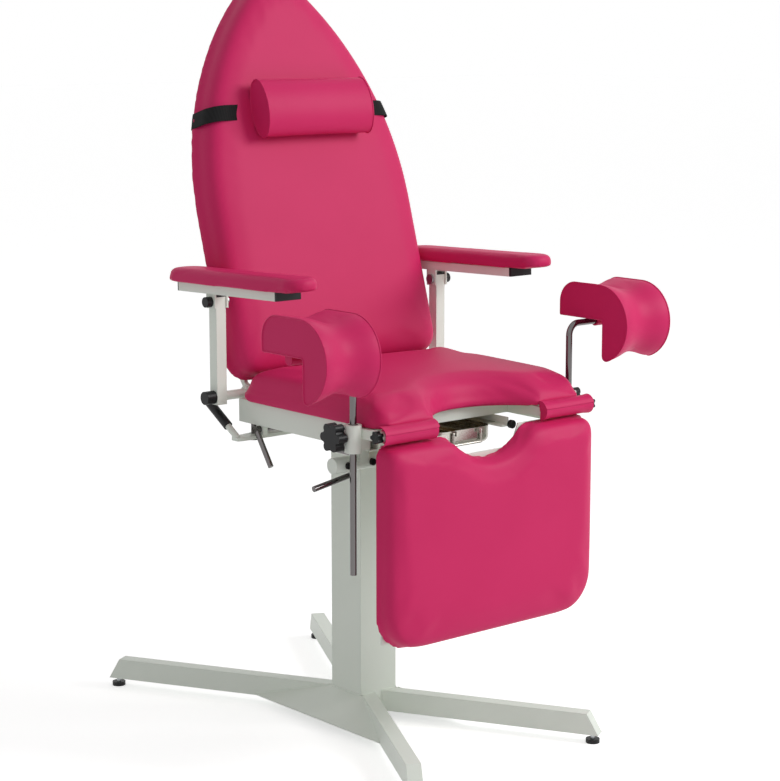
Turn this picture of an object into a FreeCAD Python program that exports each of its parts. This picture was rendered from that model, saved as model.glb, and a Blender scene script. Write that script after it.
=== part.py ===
"""Gynecological examination chair: a steel column stand that carries a seat, a reclining backrest,
a folding legrest, two folding armrests, two leg holders with crutch pads, and a sliding basin.

Frame: +Z up, the front of the chair faces -Y, +X is the right of the chair seen from the front.
The origin is on the floor, under the centre of the chair's outline.
Right-hand pieces are built first, and their left-hand twins are mirrored from them.
"""
import FreeCAD, Part
import math
import os
import re

import Sketcher
from FreeCAD import Placement, Rotation, Vector

os.makedirs("parts", exist_ok=True)
doc = FreeCAD.newDocument("examination_chair")
dims = doc.addObject("Spreadsheet::Sheet", "dims")

# Driving dimensions in millimetres and degrees. Heights (high, low, top) are above the floor. Depths
# (front, rear) are distances from the column's axis, forwards or backwards, and half sizes are from x = 0.
# A size given as a formula follows the sizes that it names, so the chair can be made wider or narrower.
SIZES = {
    # column stand
    "column_width": 100, "column_wall": 4, "column_top": 697,
    "leg_width": 32, "leg_low": 20, "leg_high": 66, "leg_wall": 3, "leg_overhang": 16, "leg_slope": 26,
    "leg_splay": 28.8, "front_leg_reach": 526, "rear_leg_reach": 612,
    "front_foot_x": "front_leg_reach * sin(leg_splay * 1 deg)",
    "foot_front": "front_leg_reach * cos(leg_splay * 1 deg)",
    "rear_foot_x": "rear_leg_reach * sin(leg_splay * 1 deg)",
    "foot_rear": "rear_leg_reach * cos(leg_splay * 1 deg)",
    "foot_radius": 15, "foot_thick": 9, "foot_stud_radius": 5, "foot_stud_top": 32,
    "gusset_reach": 137, "gusset_sheet": 4,
    "head_half": 60, "head_flange_half": 40, "head_flange_drop": 110, "head_flange_sheet": 6,
    "head_notch_radius": 22,
    # seat frame
    "rail_outer": 265, "rail_width": 25, "rail_low": 684, "rail_high": 733, "rail_wall": 2.5,
    "rail_rear": 94, "rail_front": 334,
    "tube_size": 25, "tube_wall": 2, "cross_low": 707,
    "cross_rear": 26.5, "cross_middle": 37.5, "cross_front": 277.5,
    "lug_sheet": 8, "lug_length": 50, "lug_margin": 4, "eye_rim": 5,
    # fits
    "running_gap": 0.05, "side_gap": 0.5, "soft_gap": 0.4,
    # backrest
    "back_hinge_rear": 107, "back_hinge_high": 740, "hinge_tube_radius": 10, "recline": 16,
    "back_overhang": 16, "back_half": "rail_outer + back_overhang",
    "back_thick": 80, "back_behind": 9, "back_low": 27, "back_shoulder": 381,
    "back_arc": 664, "back_tip": 110, "back_corner": 55, "back_front_edge": 34, "back_rear_edge": 9,
    "board_thick": 12, "board_inset": 16,
    "back_arm_step": 75, "back_arm_inner": "rail_outer - back_arm_step",
    "back_arm_width": 30, "back_arm_depth": 20, "back_arm_low": 45, "back_arm_high": 470,
    "back_bar_low": 60, "back_bar_high": 430, "eye_sheet": 9,
    "back_crank": 60, "back_crank_angle": 39, "crank_sheet": 8, "crank_boss": 11, "crank_pin": 5,
    "back_lock_step": 100, "back_lock_x": "rail_outer - back_lock_step",
    "lock_rod_radius": 6, "lock_head_half": 12, "lock_head_wall": 6,
    "back_slot_gap": 1.6, "back_lock_length": 205,
    "housing_half": 20, "housing_front": 5, "housing_rear": 55, "housing_low": 663,
    # pillow and its strap
    "pillow_high": 592, "pillow_half": 155, "pillow_height": 125, "pillow_depth": 62,
    "strap_width": 34, "strap_thick": 2,
    # backrest levers
    "release_step": 13, "release_x": "rail_outer - release_step", "release_rear": 60,
    "release_pin_radius": 6, "release_low": 653, "release_sheet": 8,
    "finger_radius": 4, "finger_rear": 44, "finger_top": 673,
    "release_inner": "back_lock_x - 2 * finger_radius",
    "handle_step": 38, "handle_x": "rail_outer + handle_step", "handle_rear": 46, "handle_lean": 58,
    "handle_length": 128, "handle_radius": 7, "grip_start": 42, "grip_radius": 10,
    "clamp_rear": 30, "clamp_high": 675, "clamp_radius": 7,
    "clamp_proud": 11, "clamp_outer": "rail_outer + clamp_proud",
    "clamp_bar_step": 3, "clamp_bar_x": "rail_outer + clamp_bar_step",
    "clamp_bar_radius": 6, "clamp_bar_length": 88, "clamp_lean": 34.5, "hanger_width": 12,
    # seat
    "board_edge": 3, "seat_board_half": "rail_outer - board_edge",
    "seat_board_rear": 70, "seat_board_front": 368,
    "seat_overhang": 13, "seat_half": "rail_outer + seat_overhang", "seat_rear": 79, "seat_front": 392,
    "seat_top_rear": 804, "seat_top_front": 793, "seat_rear_round": 63, "seat_nose": 24, "seat_fall": 92,
    "seat_side_round": 38, "seat_corner": 45,
    "cutout_radius": 166, "cutout_depth": 87, "cutout_margin": 8, "cutout_edge": 34,
    # legrest
    "leg_hinge_front": 395, "leg_hinge_high": 724, "leg_pin_radius": 6, "leg_tube_radius": 10,
    "leg_lug_span": 110, "leg_lug_inner": "rail_outer - leg_lug_span",
    "leg_lug_step": 14, "leg_lug_outer": "rail_outer + leg_lug_step", "leg_half": "leg_lug_outer + lug_sheet",
    "leg_pad_front": 435, "leg_pad_rear": 380.5, "leg_pad_top": 703, "leg_pad_low": 282,
    "leg_pad_corner": 90, "leg_pad_shoulder": 30, "leg_pad_edge": 26,
    "scoop_low": 648, "scoop_radius": 120, "scoop_lip": 45,
    "leg_sheet": 3, "leg_sheet_margin": 16, "leg_notch_low": 657, "leg_notch_half": 80, "leg_notch_flare": 20,
    "web_inner": "rail_outer - rail_width", "web_length": 110, "web_depth": 8,
    "roll_radius": 17, "roll_inner": "leg_lug_inner + lug_sheet + 4 * side_gap",
    "roll_outer": "leg_lug_outer - 4 * side_gap",
    "hinge_cap_radius": 9, "hinge_cap_lobe": 4, "hinge_cap_length": 14,
    "leg_crank": 80, "leg_crank_angle": 42.5,
    "leg_lock_step": 55, "leg_lock_x": "rail_outer - leg_lock_step",
    "leg_slot_gap": 2.8, "leg_lock_length": 190,
    "lock_tube_radius": 16, "lock_tube_proud": 57, "lock_tube_outer": "rail_outer + lock_tube_proud",
    "lock_tube_lap": 20, "lock_tube_inner": "leg_lock_x - lock_tube_lap", "lock_tube_front": 290,
    "lock_cap_step": 29, "lock_cap_outer": "rail_outer + lock_cap_step",
    "lock_cap_lap": 22, "lock_cap_inner": "leg_lock_x + lock_cap_lap",
    "lock_cap_radius": 7, "lock_cap_proud": 5,
    "leg_lever_step": 3, "leg_lever_x": "rail_outer + leg_lever_step",
    "leg_lever_length": 102, "leg_lever_drop": 9.4, "leg_lever_radius": 6,
    # basin on its runners
    "basin_half": 80, "basin_front": 330, "basin_rear": 80, "basin_low": 659, "basin_high": 695,
    "basin_wall": 1.5, "basin_corner": 30, "basin_round": 14, "basin_rim": 110,
    "runner_inner": 96, "runner_outer": 116, "runner_sheet": 4, "runner_high": 692, "runner_front": 335,
    "runner_cap_radius": 9, "runner_cap_length": 8,
    "bail_half": 38, "bail_radius": 2.5, "bail_front": 334, "bail_high": 690, "bail_low": 665,
    "bail_ear": 30, "bail_ear_sheet": 4,
    # armrests
    "post_step": 31, "post_inner": "rail_outer + post_step", "post_size": 25, "post_wall": 2,
    "post_low": 724, "post_high": 953, "post_plug": 4,
    "arm_pivot_high": 943, "arm_rise": 1.65, "arm_rail_lap": 5, "arm_rail_inner": "post_inner - arm_rail_lap",
    "arm_rail_width": 62, "arm_rail_outer": "arm_rail_inner + arm_rail_width",
    "arm_rail_low": 21, "arm_rail_thick": 19, "arm_rail_wall": 2,
    "arm_rail_front": 257, "arm_rail_rear": 76,
    "fork_sheet": 4.5, "fork_half": 15, "fork_drop": 14, "arm_bolt_radius": 5,
    "arm_cap_length": 6, "arm_knob_radius": 9, "arm_knob_length": 15,
    "arm_pad_lip": 6, "arm_pad_inner": "arm_rail_inner - arm_pad_lip",
    "arm_pad_width": 81, "arm_pad_outer": "arm_pad_inner + arm_pad_width",
    "arm_pad_front": 335, "arm_pad_rear": 115, "arm_pad_thick": 30, "arm_pad_corner": 40, "arm_pad_edge": 14,
    "pivot_head_radius": 11, "pivot_head_inner": 5, "pivot_head_outer": 14,
    "post_knob_radius": 14, "post_knob_length": 24, "post_stud_radius": 5,
    "post_stud_grip": 34, "post_stud_inner": "post_inner - post_stud_grip",
    # leg holders
    "holder_step": 34, "holder_x": "rail_outer + holder_step", "holder_front": 328, "holder_radius": 7,
    "holder_low": 437, "holder_high": 886, "holder_bend": 25,
    "bush_wall": 3, "sleeve_radius": 17, "sleeve_low": 685, "sleeve_high": 741,
    "bracket_front": 340, "bracket_rear": 280, "bracket_low": 689,
    "bracket_width": 30, "bracket_outer": "rail_outer + bracket_width",
    "star_front": 305, "star_high": 716, "star_core": 22, "star_lobe": 9, "star_circle": 21,
    "star_hub": 9, "star_hub_step": 10, "star_hub_inner": "holder_x + star_hub_step",
    "star_hub_length": 9, "star_inner": "star_hub_inner + star_hub_length",
    "star_thick": 22, "star_outer": "star_inner + star_thick",
    "star_stud": 5, "star_stud_step": 7, "star_stud_inner": "rail_outer + star_stud_step",
    "saddle_step": 77, "saddle_inner": "holder_x + saddle_step",
    "saddle_width": 82, "saddle_outer": "saddle_inner + saddle_width",
    "saddle_wall": 4, "saddle_half": 30, "saddle_sheet": 3,
    "holder_short": 3, "holder_end": "saddle_outer - holder_short",
    "crutch_lip": 38, "crutch_inner": "saddle_inner - crutch_lip",
    "crutch_width": 132, "crutch_outer": "crutch_inner + crutch_width",
    "crutch_front": 459, "crutch_rear": 262, "crutch_top": 970,
    "crutch_arm": 70, "crutch_round": 82, "crutch_tip": 10, "crutch_notch": 6, "crutch_rear_round": 44,
}
for row, name in enumerate(SIZES, start=1):
    dims.set(f"A{row}", name)
    dims.setAlias(f"B{row}", name)
for row, value in enumerate(SIZES.values(), start=1):
    dims.set(f"B{row}", f"={value}" if isinstance(value, str) else str(value))
doc.recompute()

# The column's axis stands where the outline, from the front leg tips to the rear ones, is centred on y = 0.
COLUMN_Y = "(foot_front - foot_rear) / 2"
TURNS = {"x": Rotation(Vector(0, 1, 0), 90), "y": Rotation(Vector(1, 0, 0), -90), "z": Rotation()}
NODES = []


def size(name):
    """The number in a size's cell."""
    return float(getattr(dims, name))


def bind(thing, prop, formula):
    """Tie a property to the sheet: each size named in the formula becomes its cell."""
    def cell(word):
        return f"dims.{word[0]}" if word[0] in SIZES else word[0]
    thing.setExpression(prop, re.sub(r"[a-z_][a-z_0-9]*", cell, formula))


def place(thing, x, y, z, local=False):
    """Put a piece at formulas counted from the column's axis, or from a moving section's own hinge."""
    bind(thing, "Placement.Base.x", x)
    bind(thing, "Placement.Base.y", y if local else f"{y} + {COLUMN_Y}")
    bind(thing, "Placement.Base.z", z)
    return thing


def block(x, y, z, local=False):
    """A box between the low and high formulas of each axis."""
    box = doc.addObject("Part::Box", "block")
    for prop, (low, high) in zip(("Length", "Width", "Height"), (x, y, z)):
        bind(box, prop, f"({high}) - ({low})")
    return place(box, x[0], y[0], z[0], local)


def rod(axis, span, centre, radius, local=False):
    """A round bar along one axis; centre holds its place on the other two, in x, y, z order."""
    bar = doc.addObject("Part::Cylinder", "rod")
    bar.Placement = Placement(Vector(), TURNS[axis])
    bind(bar, "Radius", radius)
    bind(bar, "Height", f"({span[1]}) - ({span[0]})")
    start = list(centre)
    start.insert("xyz".index(axis), span[0])
    return place(bar, *start, local)


def leaning_bar(start, turn_axis, angle, radius, length):
    """A round bar from a start point, its direction turned from +Z about an axis by an angle formula."""
    bar = doc.addObject("Part::Cylinder", "bar")
    bar.Placement = Placement(Vector(), Rotation(turn_axis, 45))
    bind(bar, "Placement.Rotation.Angle", angle)
    bind(bar, "Radius", radius)
    bind(bar, "Height", length)
    return place(bar, *start)


def plate(plane, outline, span, local=False, middle=False):
    """A flat plate: a polygon of formula points on an origin plane, padded along that plane's normal."""
    body = doc.addObject("PartDesign::Body", "plate")
    sketch = body.newObject("Sketcher::SketchObject", "outline")
    support = next(feature for feature in body.Origin.OriginFeatures if feature.Role == plane)
    sketch.AttachmentSupport = (support, [""])
    sketch.MapMode = "FlatFace"
    count = len(outline)
    rough = [Vector(200 + 100 * math.cos(math.tau * i / count), 200 + 100 * math.sin(math.tau * i / count), 0)
             for i in range(count)]
    for i in range(count):
        sketch.addGeometry(Part.LineSegment(rough[i], rough[(i + 1) % count]))
    for i in range(count):
        sketch.addConstraint(Sketcher.Constraint("Coincident", i, 2, (i + 1) % count, 1))
    for i, (across, up) in enumerate(outline):
        for kind, formula, value in (("DistanceX", across, rough[i].x), ("DistanceY", up, rough[i].y)):
            index = sketch.addConstraint(Sketcher.Constraint(kind, -1, 1, i, 1, value))
            bind(sketch, f"Constraints[{index}]", formula)
    pad = body.newObject("PartDesign::Pad", "thickness")
    pad.Profile = sketch
    pad.Midplane = middle
    bind(pad, "Length", f"({span[1]}) - ({span[0]})")
    if plane == "YZ_Plane":
        return place(body, span[0], "0", "0", local)
    if plane == "XY_Plane":
        return place(body, "0", "0", span[0], local)
    return body


def join(*pieces):
    """Welded or moulded in one."""
    weld = doc.addObject("Part::MultiFuse", "weld")
    weld.Shapes = list(pieces)
    weld.Refine = True
    return weld


def carve(piece, *tools):
    """A piece with the tools' volumes cut away."""
    cut = doc.addObject("Part::Cut", "cut")
    cut.Base = piece
    cut.Tool = tools[0] if len(tools) == 1 else join(*tools)
    return cut


def mirror(piece):
    """The left-hand twin of a right-hand piece."""
    twin = doc.addObject("Part::Mirroring", "twin")
    twin.Source = piece
    twin.Normal = Vector(1, 0, 0)
    return twin


def group(*pieces):
    """Separate solids that share one node."""
    together = doc.addObject("Part::Compound", "group")
    together.Links = list(pieces)
    return together


def hang(piece, x, y, z, axis, angle):
    """Move a section built about its own hinge to its place, leaning by an angle formula."""
    piece.Placement = Placement(Vector(), Rotation(axis, 1))
    bind(piece, "Placement.Rotation.Angle", angle)
    return place(piece, x, y, z)


def feature(shape, x="0", y="0", z="0"):
    """A solid whose shape is worked out from the sheet's numbers."""
    solid = doc.addObject("Part::Feature", "solid")
    solid.Shape = shape
    return place(solid, x, y, z)


def node(piece, name):
    """Name a finished sub-part; the name is its file's name."""
    piece.Label = name
    NODES.append(piece)
    return piece


def both(piece, name):
    """A right-hand sub-part and its mirrored left-hand twin."""
    node(piece, f"{name}_right")
    node(mirror(piece), f"{name}_left")


def face_of(*edges):
    """The flat face inside a closed run of edges."""
    return Part.Face(Part.Wire(Part.__sortEdges__(list(edges))))


def line(start, end):
    return Part.LineSegment(Vector(*start), Vector(*end)).toShape()


def arc(start, through, end):
    return Part.Arc(Vector(*start), Vector(*through), Vector(*end)).toShape()


def quarter(start, end, centre):
    """A round corner between two points at one distance from its centre."""
    start, end, centre = Vector(*start), Vector(*end), Vector(*centre)
    bisector = (start - centre) + (end - centre)
    through = centre + bisector * ((start - centre).Length / bisector.Length)
    return Part.Arc(start, through, end).toShape()


def rounded_plan(low_x, low_y, high_x, high_y, corner, z):
    """A level rectangle with round corners."""
    straight = [line((low_x + corner, low_y, z), (high_x - corner, low_y, z)),
                line((high_x, low_y + corner, z), (high_x, high_y - corner, z)),
                line((high_x - corner, high_y, z), (low_x + corner, high_y, z)),
                line((low_x, high_y - corner, z), (low_x, low_y + corner, z))]
    inner_x, inner_y = (low_x + corner, high_x - corner), (low_y + corner, high_y - corner)
    turns = [quarter((x, y_side, z), (x_side, y, z), (x, y, z))
             for x, x_side in zip(inner_x, (low_x, high_x)) for y, y_side in zip(inner_y, (low_y, high_y))]
    return face_of(*straight, *turns)


def edges_at(shape, axis, value):
    """The edges that lie in the plane where one coordinate has a value."""
    return [edge for edge in shape.Edges
            if all(abs(getattr(vertex.Point, axis) - value) < 1e-4 for vertex in edge.Vertexes)
            and abs(getattr(edge.CenterOfMass, axis) - value) < 1e-4]


# Column: one square steel tube from the crossed legs to the seat frame.
HALF_COLUMN = ("-column_width / 2", "column_width / 2")
HALF_BORE = ("column_wall - column_width / 2", "column_width / 2 - column_wall")
column_blank = block(HALF_COLUMN, HALF_COLUMN, ("leg_low", "column_top"))
node(carve(column_blank, block(HALF_BORE, HALF_BORE, ("leg_low", "column_top"))), "column")


def stand_leg(reach, side):
    """A tube leg with a closed, sloping tip, out from the column's axis over its foot, cut at the column."""
    tip = f"{reach} + leg_overhang"
    outer = plate("XZ_Plane", [("0", "leg_low"), (tip, "leg_low"), (f"{tip} - leg_slope", "leg_high"),
                               ("0", "leg_high")], ("0", "leg_width"), middle=True)
    inner = plate("XZ_Plane", [("0", "leg_low + leg_wall"), (f"{tip} - 3 * leg_wall", "leg_low + leg_wall"),
                               (f"{tip} - leg_slope - 2 * leg_wall", "leg_high - leg_wall"),
                               ("0", "leg_high - leg_wall")], ("0", "leg_width - 2 * leg_wall"), middle=True)
    stud_hole = rod("z", ("leg_low", "foot_stud_top + side_gap"), (reach, "0"),
                    "foot_stud_radius + running_gap", local=True)
    tube = carve(outer, inner, stud_hole)
    hang(tube, "0", "0", "0", Vector(0, 0, side), "90 - leg_splay")
    return carve(tube, block(HALF_COLUMN, HALF_COLUMN, ("leg_low", "leg_high")))


both(stand_leg("rear_leg_reach", 1), "leg_rear")
both(stand_leg("front_leg_reach", -1), "leg_front")


def gusset_shape():
    """A sloping sheet between the front and rear legs of one side, from the column down to the outer edge."""
    splay = math.radians(size("leg_splay"))

    def leg_side(x):
        """How far from the X axis a leg's inner side face passes a given x."""
        return (x * math.cos(splay) - size("leg_width") / 2) / math.sin(splay)

    inner, outer = size("column_width") / 2, size("gusset_reach")
    high, low = size("leg_high"), size("leg_low") + size("gusset_sheet")
    corners = [Vector(inner, leg_side(inner), high), Vector(inner, -leg_side(inner), high),
               Vector(outer, -leg_side(outer), low), Vector(outer, leg_side(outer), low)]
    sheet = Part.Face(Part.makePolygon(corners + corners[:1]))
    return sheet.extrude(Vector(0, 0, -size("gusset_sheet")))


gusset = feature(gusset_shape())
node(group(gusset, mirror(gusset)), "base_gussets")


def levelling_foot(x, y):
    """A plastic disc on a threaded stud that screws into the leg."""
    return join(rod("z", ("0", "foot_thick"), (x, y), "foot_radius"),
                rod("z", ("0", "foot_stud_top"), (x, y), "foot_stud_radius"))


both(levelling_foot("rear_foot_x", "foot_rear"), "foot_rear")
both(levelling_foot("front_foot_x", "-foot_front"), "foot_front")

# Column head: a flat plate under the cross tubes, with a notched flange down the column's front.
HEAD = ("-head_half", "head_half")
FLANGE_Y = ("-column_width / 2 - head_flange_sheet", "-column_width / 2")
flange = block(("-head_flange_half", "head_flange_half"), FLANGE_Y,
               ("column_top - head_flange_drop", "cross_low"))
notch = rod("y", FLANGE_Y, ("0", "column_top - head_flange_drop"), "head_notch_radius")
node(join(block(HEAD, HEAD, ("column_top", "cross_low")), carve(flange, notch)), "column_head")

# Side rails: deep rectangular tubes, each with a lug at its rear end for the backrest's hinge tube.
RAIL_INNER = "rail_outer - rail_width"
rail_tube = carve(
    block((RAIL_INNER, "rail_outer"), ("-rail_front", "rail_rear"), ("rail_low", "rail_high")),
    block((f"{RAIL_INNER} + rail_wall", "rail_outer - rail_wall"), ("-rail_front", "rail_rear - rail_wall"),
          ("rail_low + rail_wall", "rail_high - rail_wall")))
LUG_SPAN = (f"{RAIL_INNER} - lug_sheet", RAIL_INNER)
BACK_HINGE = ("back_hinge_rear", "back_hinge_high")
back_lug = join(
    plate("YZ_Plane", [("rail_rear - lug_length", "rail_low + lug_margin"),
                       ("rail_rear", "rail_low + lug_margin"),
                       ("back_hinge_rear + hinge_tube_radius + eye_rim", "back_hinge_high"),
                       ("back_hinge_rear - hinge_tube_radius - lug_margin", "back_hinge_high"),
                       ("rail_rear - lug_margin", "rail_high - lug_margin"),
                       ("rail_rear - lug_length", "rail_high - lug_margin")], LUG_SPAN),
    rod("x", LUG_SPAN, BACK_HINGE, "hinge_tube_radius + eye_rim"))
hinge_hole = rod("x", LUG_SPAN, BACK_HINGE, "hinge_tube_radius")
rail = join(rail_tube, carve(back_lug, hinge_hole))
node(rail, "side_rail_right")
CLAMP_AXIS = ("clamp_rear", "clamp_high")
HANGER_SPAN = ("(rail_width - hanger_width) / 2 - rail_outer", "(rail_width + hanger_width) / 2 - rail_outer")
hanger = carve(
    block(HANGER_SPAN, ("clamp_rear - hanger_width", "clamp_rear + hanger_width"),
          ("clamp_high - hanger_width", "rail_low")),
    rod("x", HANGER_SPAN, CLAMP_AXIS, "clamp_radius + running_gap"))
node(join(mirror(rail), hanger), "side_rail_left")


def cross_tube(y):
    """A square tube welded between the two rails."""
    width = (f"-({RAIL_INNER})", RAIL_INNER)
    return carve(
        block(width, (f"{y} - tube_size / 2", f"{y} + tube_size / 2"),
              ("cross_low", "cross_low + tube_size")),
        block(width, (f"{y} - tube_size / 2 + tube_wall", f"{y} + tube_size / 2 - tube_wall"),
              ("cross_low + tube_wall", "cross_low + tube_size - tube_wall")))


# The backrest's hinge tube runs through both lugs and carries the armrest posts on its threaded ends.
hinge_tube = carve(
    rod("x", ("-post_inner", "post_inner"), BACK_HINGE, "hinge_tube_radius"),
    rod("x", ("post_stud_inner - side_gap", "post_inner"), BACK_HINGE, "post_stud_radius + running_gap"),
    rod("x", ("-post_inner", "side_gap - post_stud_inner"), BACK_HINGE, "post_stud_radius + running_gap"))
node(group(cross_tube("cross_rear"), cross_tube("-cross_middle"), hinge_tube), "cross_tubes")

# Front cross tube: carries two lugs that hold the inner ends of the legrest's hinge pins.
LEG_HINGE = ("-leg_hinge_front", "leg_hinge_high")
INNER_LUG = ("leg_lug_inner", "leg_lug_inner + lug_sheet")
inner_lug = carve(
    join(plate("YZ_Plane", [("-cross_front - tube_size / 2", "cross_low"),
                            ("-cross_front - tube_size / 2", "cross_low + tube_size - side_gap"),
                            ("-leg_hinge_front", "cross_low + tube_size - side_gap"),
                            ("-leg_hinge_front", "leg_hinge_high - leg_pin_radius - eye_rim"),
                            ], INNER_LUG),
         rod("x", INNER_LUG, LEG_HINGE, "leg_pin_radius + eye_rim")),
    rod("x", INNER_LUG, LEG_HINGE, "leg_pin_radius"))
node(join(cross_tube("-cross_front"), inner_lug, mirror(inner_lug)), "front_cross_tube")

# Front brackets: each holds a leg holder's clamp sleeve beside the rail, and the legrest hinge's outer end.
SLEEVE = ("holder_x", "-holder_front")
OUTER_LUG = ("leg_lug_outer", "leg_lug_outer + lug_sheet")
STAR_AXIS = ("-star_front", "star_high")
bracket = carve(
    join(block(("rail_outer", "bracket_outer"), ("-bracket_front", "-bracket_rear"),
               ("bracket_low", "rail_high - side_gap")),
         rod("z", ("sleeve_low", "sleeve_high"), SLEEVE, "sleeve_radius"),
         plate("YZ_Plane", [("-bracket_front", "leg_hinge_high - leg_pin_radius - eye_rim"),
                            ("-bracket_front", "rail_high - side_gap"),
                            ("-leg_hinge_front", "leg_hinge_high + leg_pin_radius + eye_rim"),
                            ("-leg_hinge_front", "leg_hinge_high - leg_pin_radius - eye_rim")], OUTER_LUG),
         rod("x", OUTER_LUG, LEG_HINGE, "leg_pin_radius + eye_rim")),
    rod("z", ("sleeve_low", "sleeve_high"), SLEEVE, "holder_radius + bush_wall + running_gap * 2"),
    rod("x", ("star_stud_inner - side_gap", "bracket_outer"), STAR_AXIS, "star_stud + running_gap"),
    rod("x", OUTER_LUG, LEG_HINGE, "leg_pin_radius"))
both(bracket, "front_bracket")

# Steel pins: the legrest's two hinge pins, and the headed pin that the backrest's release lever turns on.
leg_pin = rod("x", ("leg_lug_inner - side_gap", "leg_lug_outer + lug_sheet"), LEG_HINGE, "leg_pin_radius")
RELEASE_SPOT = ("-release_x", "release_rear")
release_pin = join(
    rod("z", ("release_low - side_gap", "rail_low"), RELEASE_SPOT, "release_pin_radius"),
    rod("z", ("release_low - side_gap - eye_rim", "release_low - side_gap"), RELEASE_SPOT,
        "release_pin_radius + eye_rim"))
node(group(leg_pin, mirror(leg_pin), release_pin), "hinge_pins")

# Legrest lock: a clamp tube under the left rail, which grips the rod that the legrest's crank moves.
LEG_REST_ANGLE = "leg_crank_angle * 1 deg"
LEG_ROD_HIGH = f"leg_hinge_high - leg_crank * (1 + cos({LEG_REST_ANGLE})) / 2"
LOCK_AXIS = ("-lock_tube_front", LEG_ROD_HIGH)
LEVER_SPOT = ("-leg_lever_x", "-lock_tube_front")
CAP_SPAN = ("-lock_tube_front - lock_tube_radius - lock_cap_proud", "-lock_tube_front - lock_tube_radius / 2")
cap_holes = [rod("y", CAP_SPAN, (f"-{x}", LEG_ROD_HIGH), "lock_cap_radius")
             for x in ("lock_cap_outer", "lock_cap_inner")]
lock_tube = carve(
    join(rod("x", ("-lock_tube_outer", "-lock_tube_inner"), LOCK_AXIS, "lock_tube_radius"),
         block(("-rail_outer", f"-({RAIL_INNER})"),
               ("-lock_tube_front - lock_tube_radius", "-lock_tube_front + lock_tube_radius"),
               (LEG_ROD_HIGH, "rail_low"))),
    rod("y", ("-lock_tube_front - lock_tube_radius", "-lock_tube_front + lock_tube_radius"),
        ("-leg_lock_x", LEG_ROD_HIGH), "lock_rod_radius + running_gap"),
    rod("z", (f"{LEG_ROD_HIGH} - lock_tube_radius", f"{LEG_ROD_HIGH} - lock_tube_radius / 2 + side_gap"),
        LEVER_SPOT, "clamp_radius + running_gap"),
    *cap_holes)
node(lock_tube, "leg_lock_tube")

# Basin runners: steel angles under the cross tubes; the basin's side rims slide on their ledges.
RUNNER_SPAN = ("-runner_front", "tube_size / 2 - cross_middle")
runner = join(
    block(("runner_inner", "runner_outer"), RUNNER_SPAN, ("runner_high - runner_sheet", "runner_high")),
    block(("runner_outer - runner_sheet", "runner_outer"), RUNNER_SPAN,
          ("runner_high - runner_sheet", "cross_low")))
node(group(runner, mirror(runner)), "basin_runners")

# Armrest posts: square tubes bolted to the ends of the hinge tube.
POST_X = ("post_inner", "post_inner + post_size")
POST_Y = ("back_hinge_rear - post_size / 2", "back_hinge_rear + post_size / 2")
ARM_PIVOT = ("back_hinge_rear", "arm_pivot_high")
post = carve(
    block(POST_X, POST_Y, ("post_low", "post_high")),
    block(("post_inner + post_wall", "post_inner + post_size - post_wall"),
          ("back_hinge_rear - post_size / 2 + post_wall", "back_hinge_rear + post_size / 2 - post_wall"),
          ("post_low", "post_high")),
    rod("x", POST_X, BACK_HINGE, "post_stud_radius + running_gap"),
    rod("x", POST_X, ARM_PIVOT, "arm_bolt_radius"))
node(group(post, mirror(post)), "arm_posts")

# Armrest pivots: a bolt through each post's top, with a flat head inside and a domed nut cover outside.
FORK_INNER = "post_inner - side_gap - fork_sheet"
FORK_OUTER = "post_inner + post_size + side_gap + fork_sheet"
pivot = join(
    rod("x", (f"{FORK_INNER} - side_gap", f"{FORK_OUTER} + side_gap"), ARM_PIVOT, "arm_bolt_radius"),
    rod("x", (f"{FORK_INNER} - side_gap - pivot_head_inner", f"{FORK_INNER} - side_gap"), ARM_PIVOT,
        "pivot_head_radius"),
    rod("x", (f"{FORK_OUTER} + side_gap", f"{FORK_OUTER} + side_gap + pivot_head_outer"), ARM_PIVOT,
        "pivot_head_radius"))
node(group(pivot, mirror(pivot)), "arm_pivots")


def lobed(span, centre, core, circle, lobe, count):
    """A hand knob on an X axis: a round core with lobes evenly round it."""
    y, z = centre
    lobes = [rod("x", span, (f"{y} + {circle} * cos({i * 360 / count} deg)",
                             f"{z} + {circle} * sin({i * 360 / count} deg)"), lobe) for i in range(count)]
    return join(rod("x", span, centre, core), *lobes)


# Black plastic caps and plugs: hinge pin ends, runner ends, lock tube bolts and post tops.
CAP_X = ("leg_lug_outer + lug_sheet", "leg_lug_outer + lug_sheet + hinge_cap_length")
hinge_cap = lobed(CAP_X, LEG_HINGE, "hinge_cap_radius", "hinge_cap_radius", "hinge_cap_lobe", 5)
runner_cap = rod("y", ("-runner_front - runner_cap_length", "-runner_front"),
                 ("runner_outer - runner_sheet + runner_cap_radius", "runner_high"), "runner_cap_radius")
post_plug = block(POST_X, POST_Y, ("post_high", "post_high + post_plug"))
bolt_caps = [rod("y", CAP_SPAN, (f"-{x}", LEG_ROD_HIGH), "lock_cap_radius")
             for x in ("lock_cap_outer", "lock_cap_inner")]
pairs = [hinge_cap, runner_cap, post_plug]
node(group(*pairs, *[mirror(cap) for cap in pairs], *bolt_caps), "end_caps")

# Seat board: plywood on the rails, with the round cut-out at the middle of its front edge.
CUTOUT = ("0", "-seat_front + cutout_depth - cutout_radius")
seat_board = carve(
    block(("-seat_board_half", "seat_board_half"), ("-seat_board_front", "seat_board_rear"),
          ("rail_high", "rail_high + board_thick")),
    rod("z", ("rail_high", "rail_high + board_thick"), CUTOUT, "cutout_radius + cutout_margin"))
node(seat_board, "seat_board")


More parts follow.
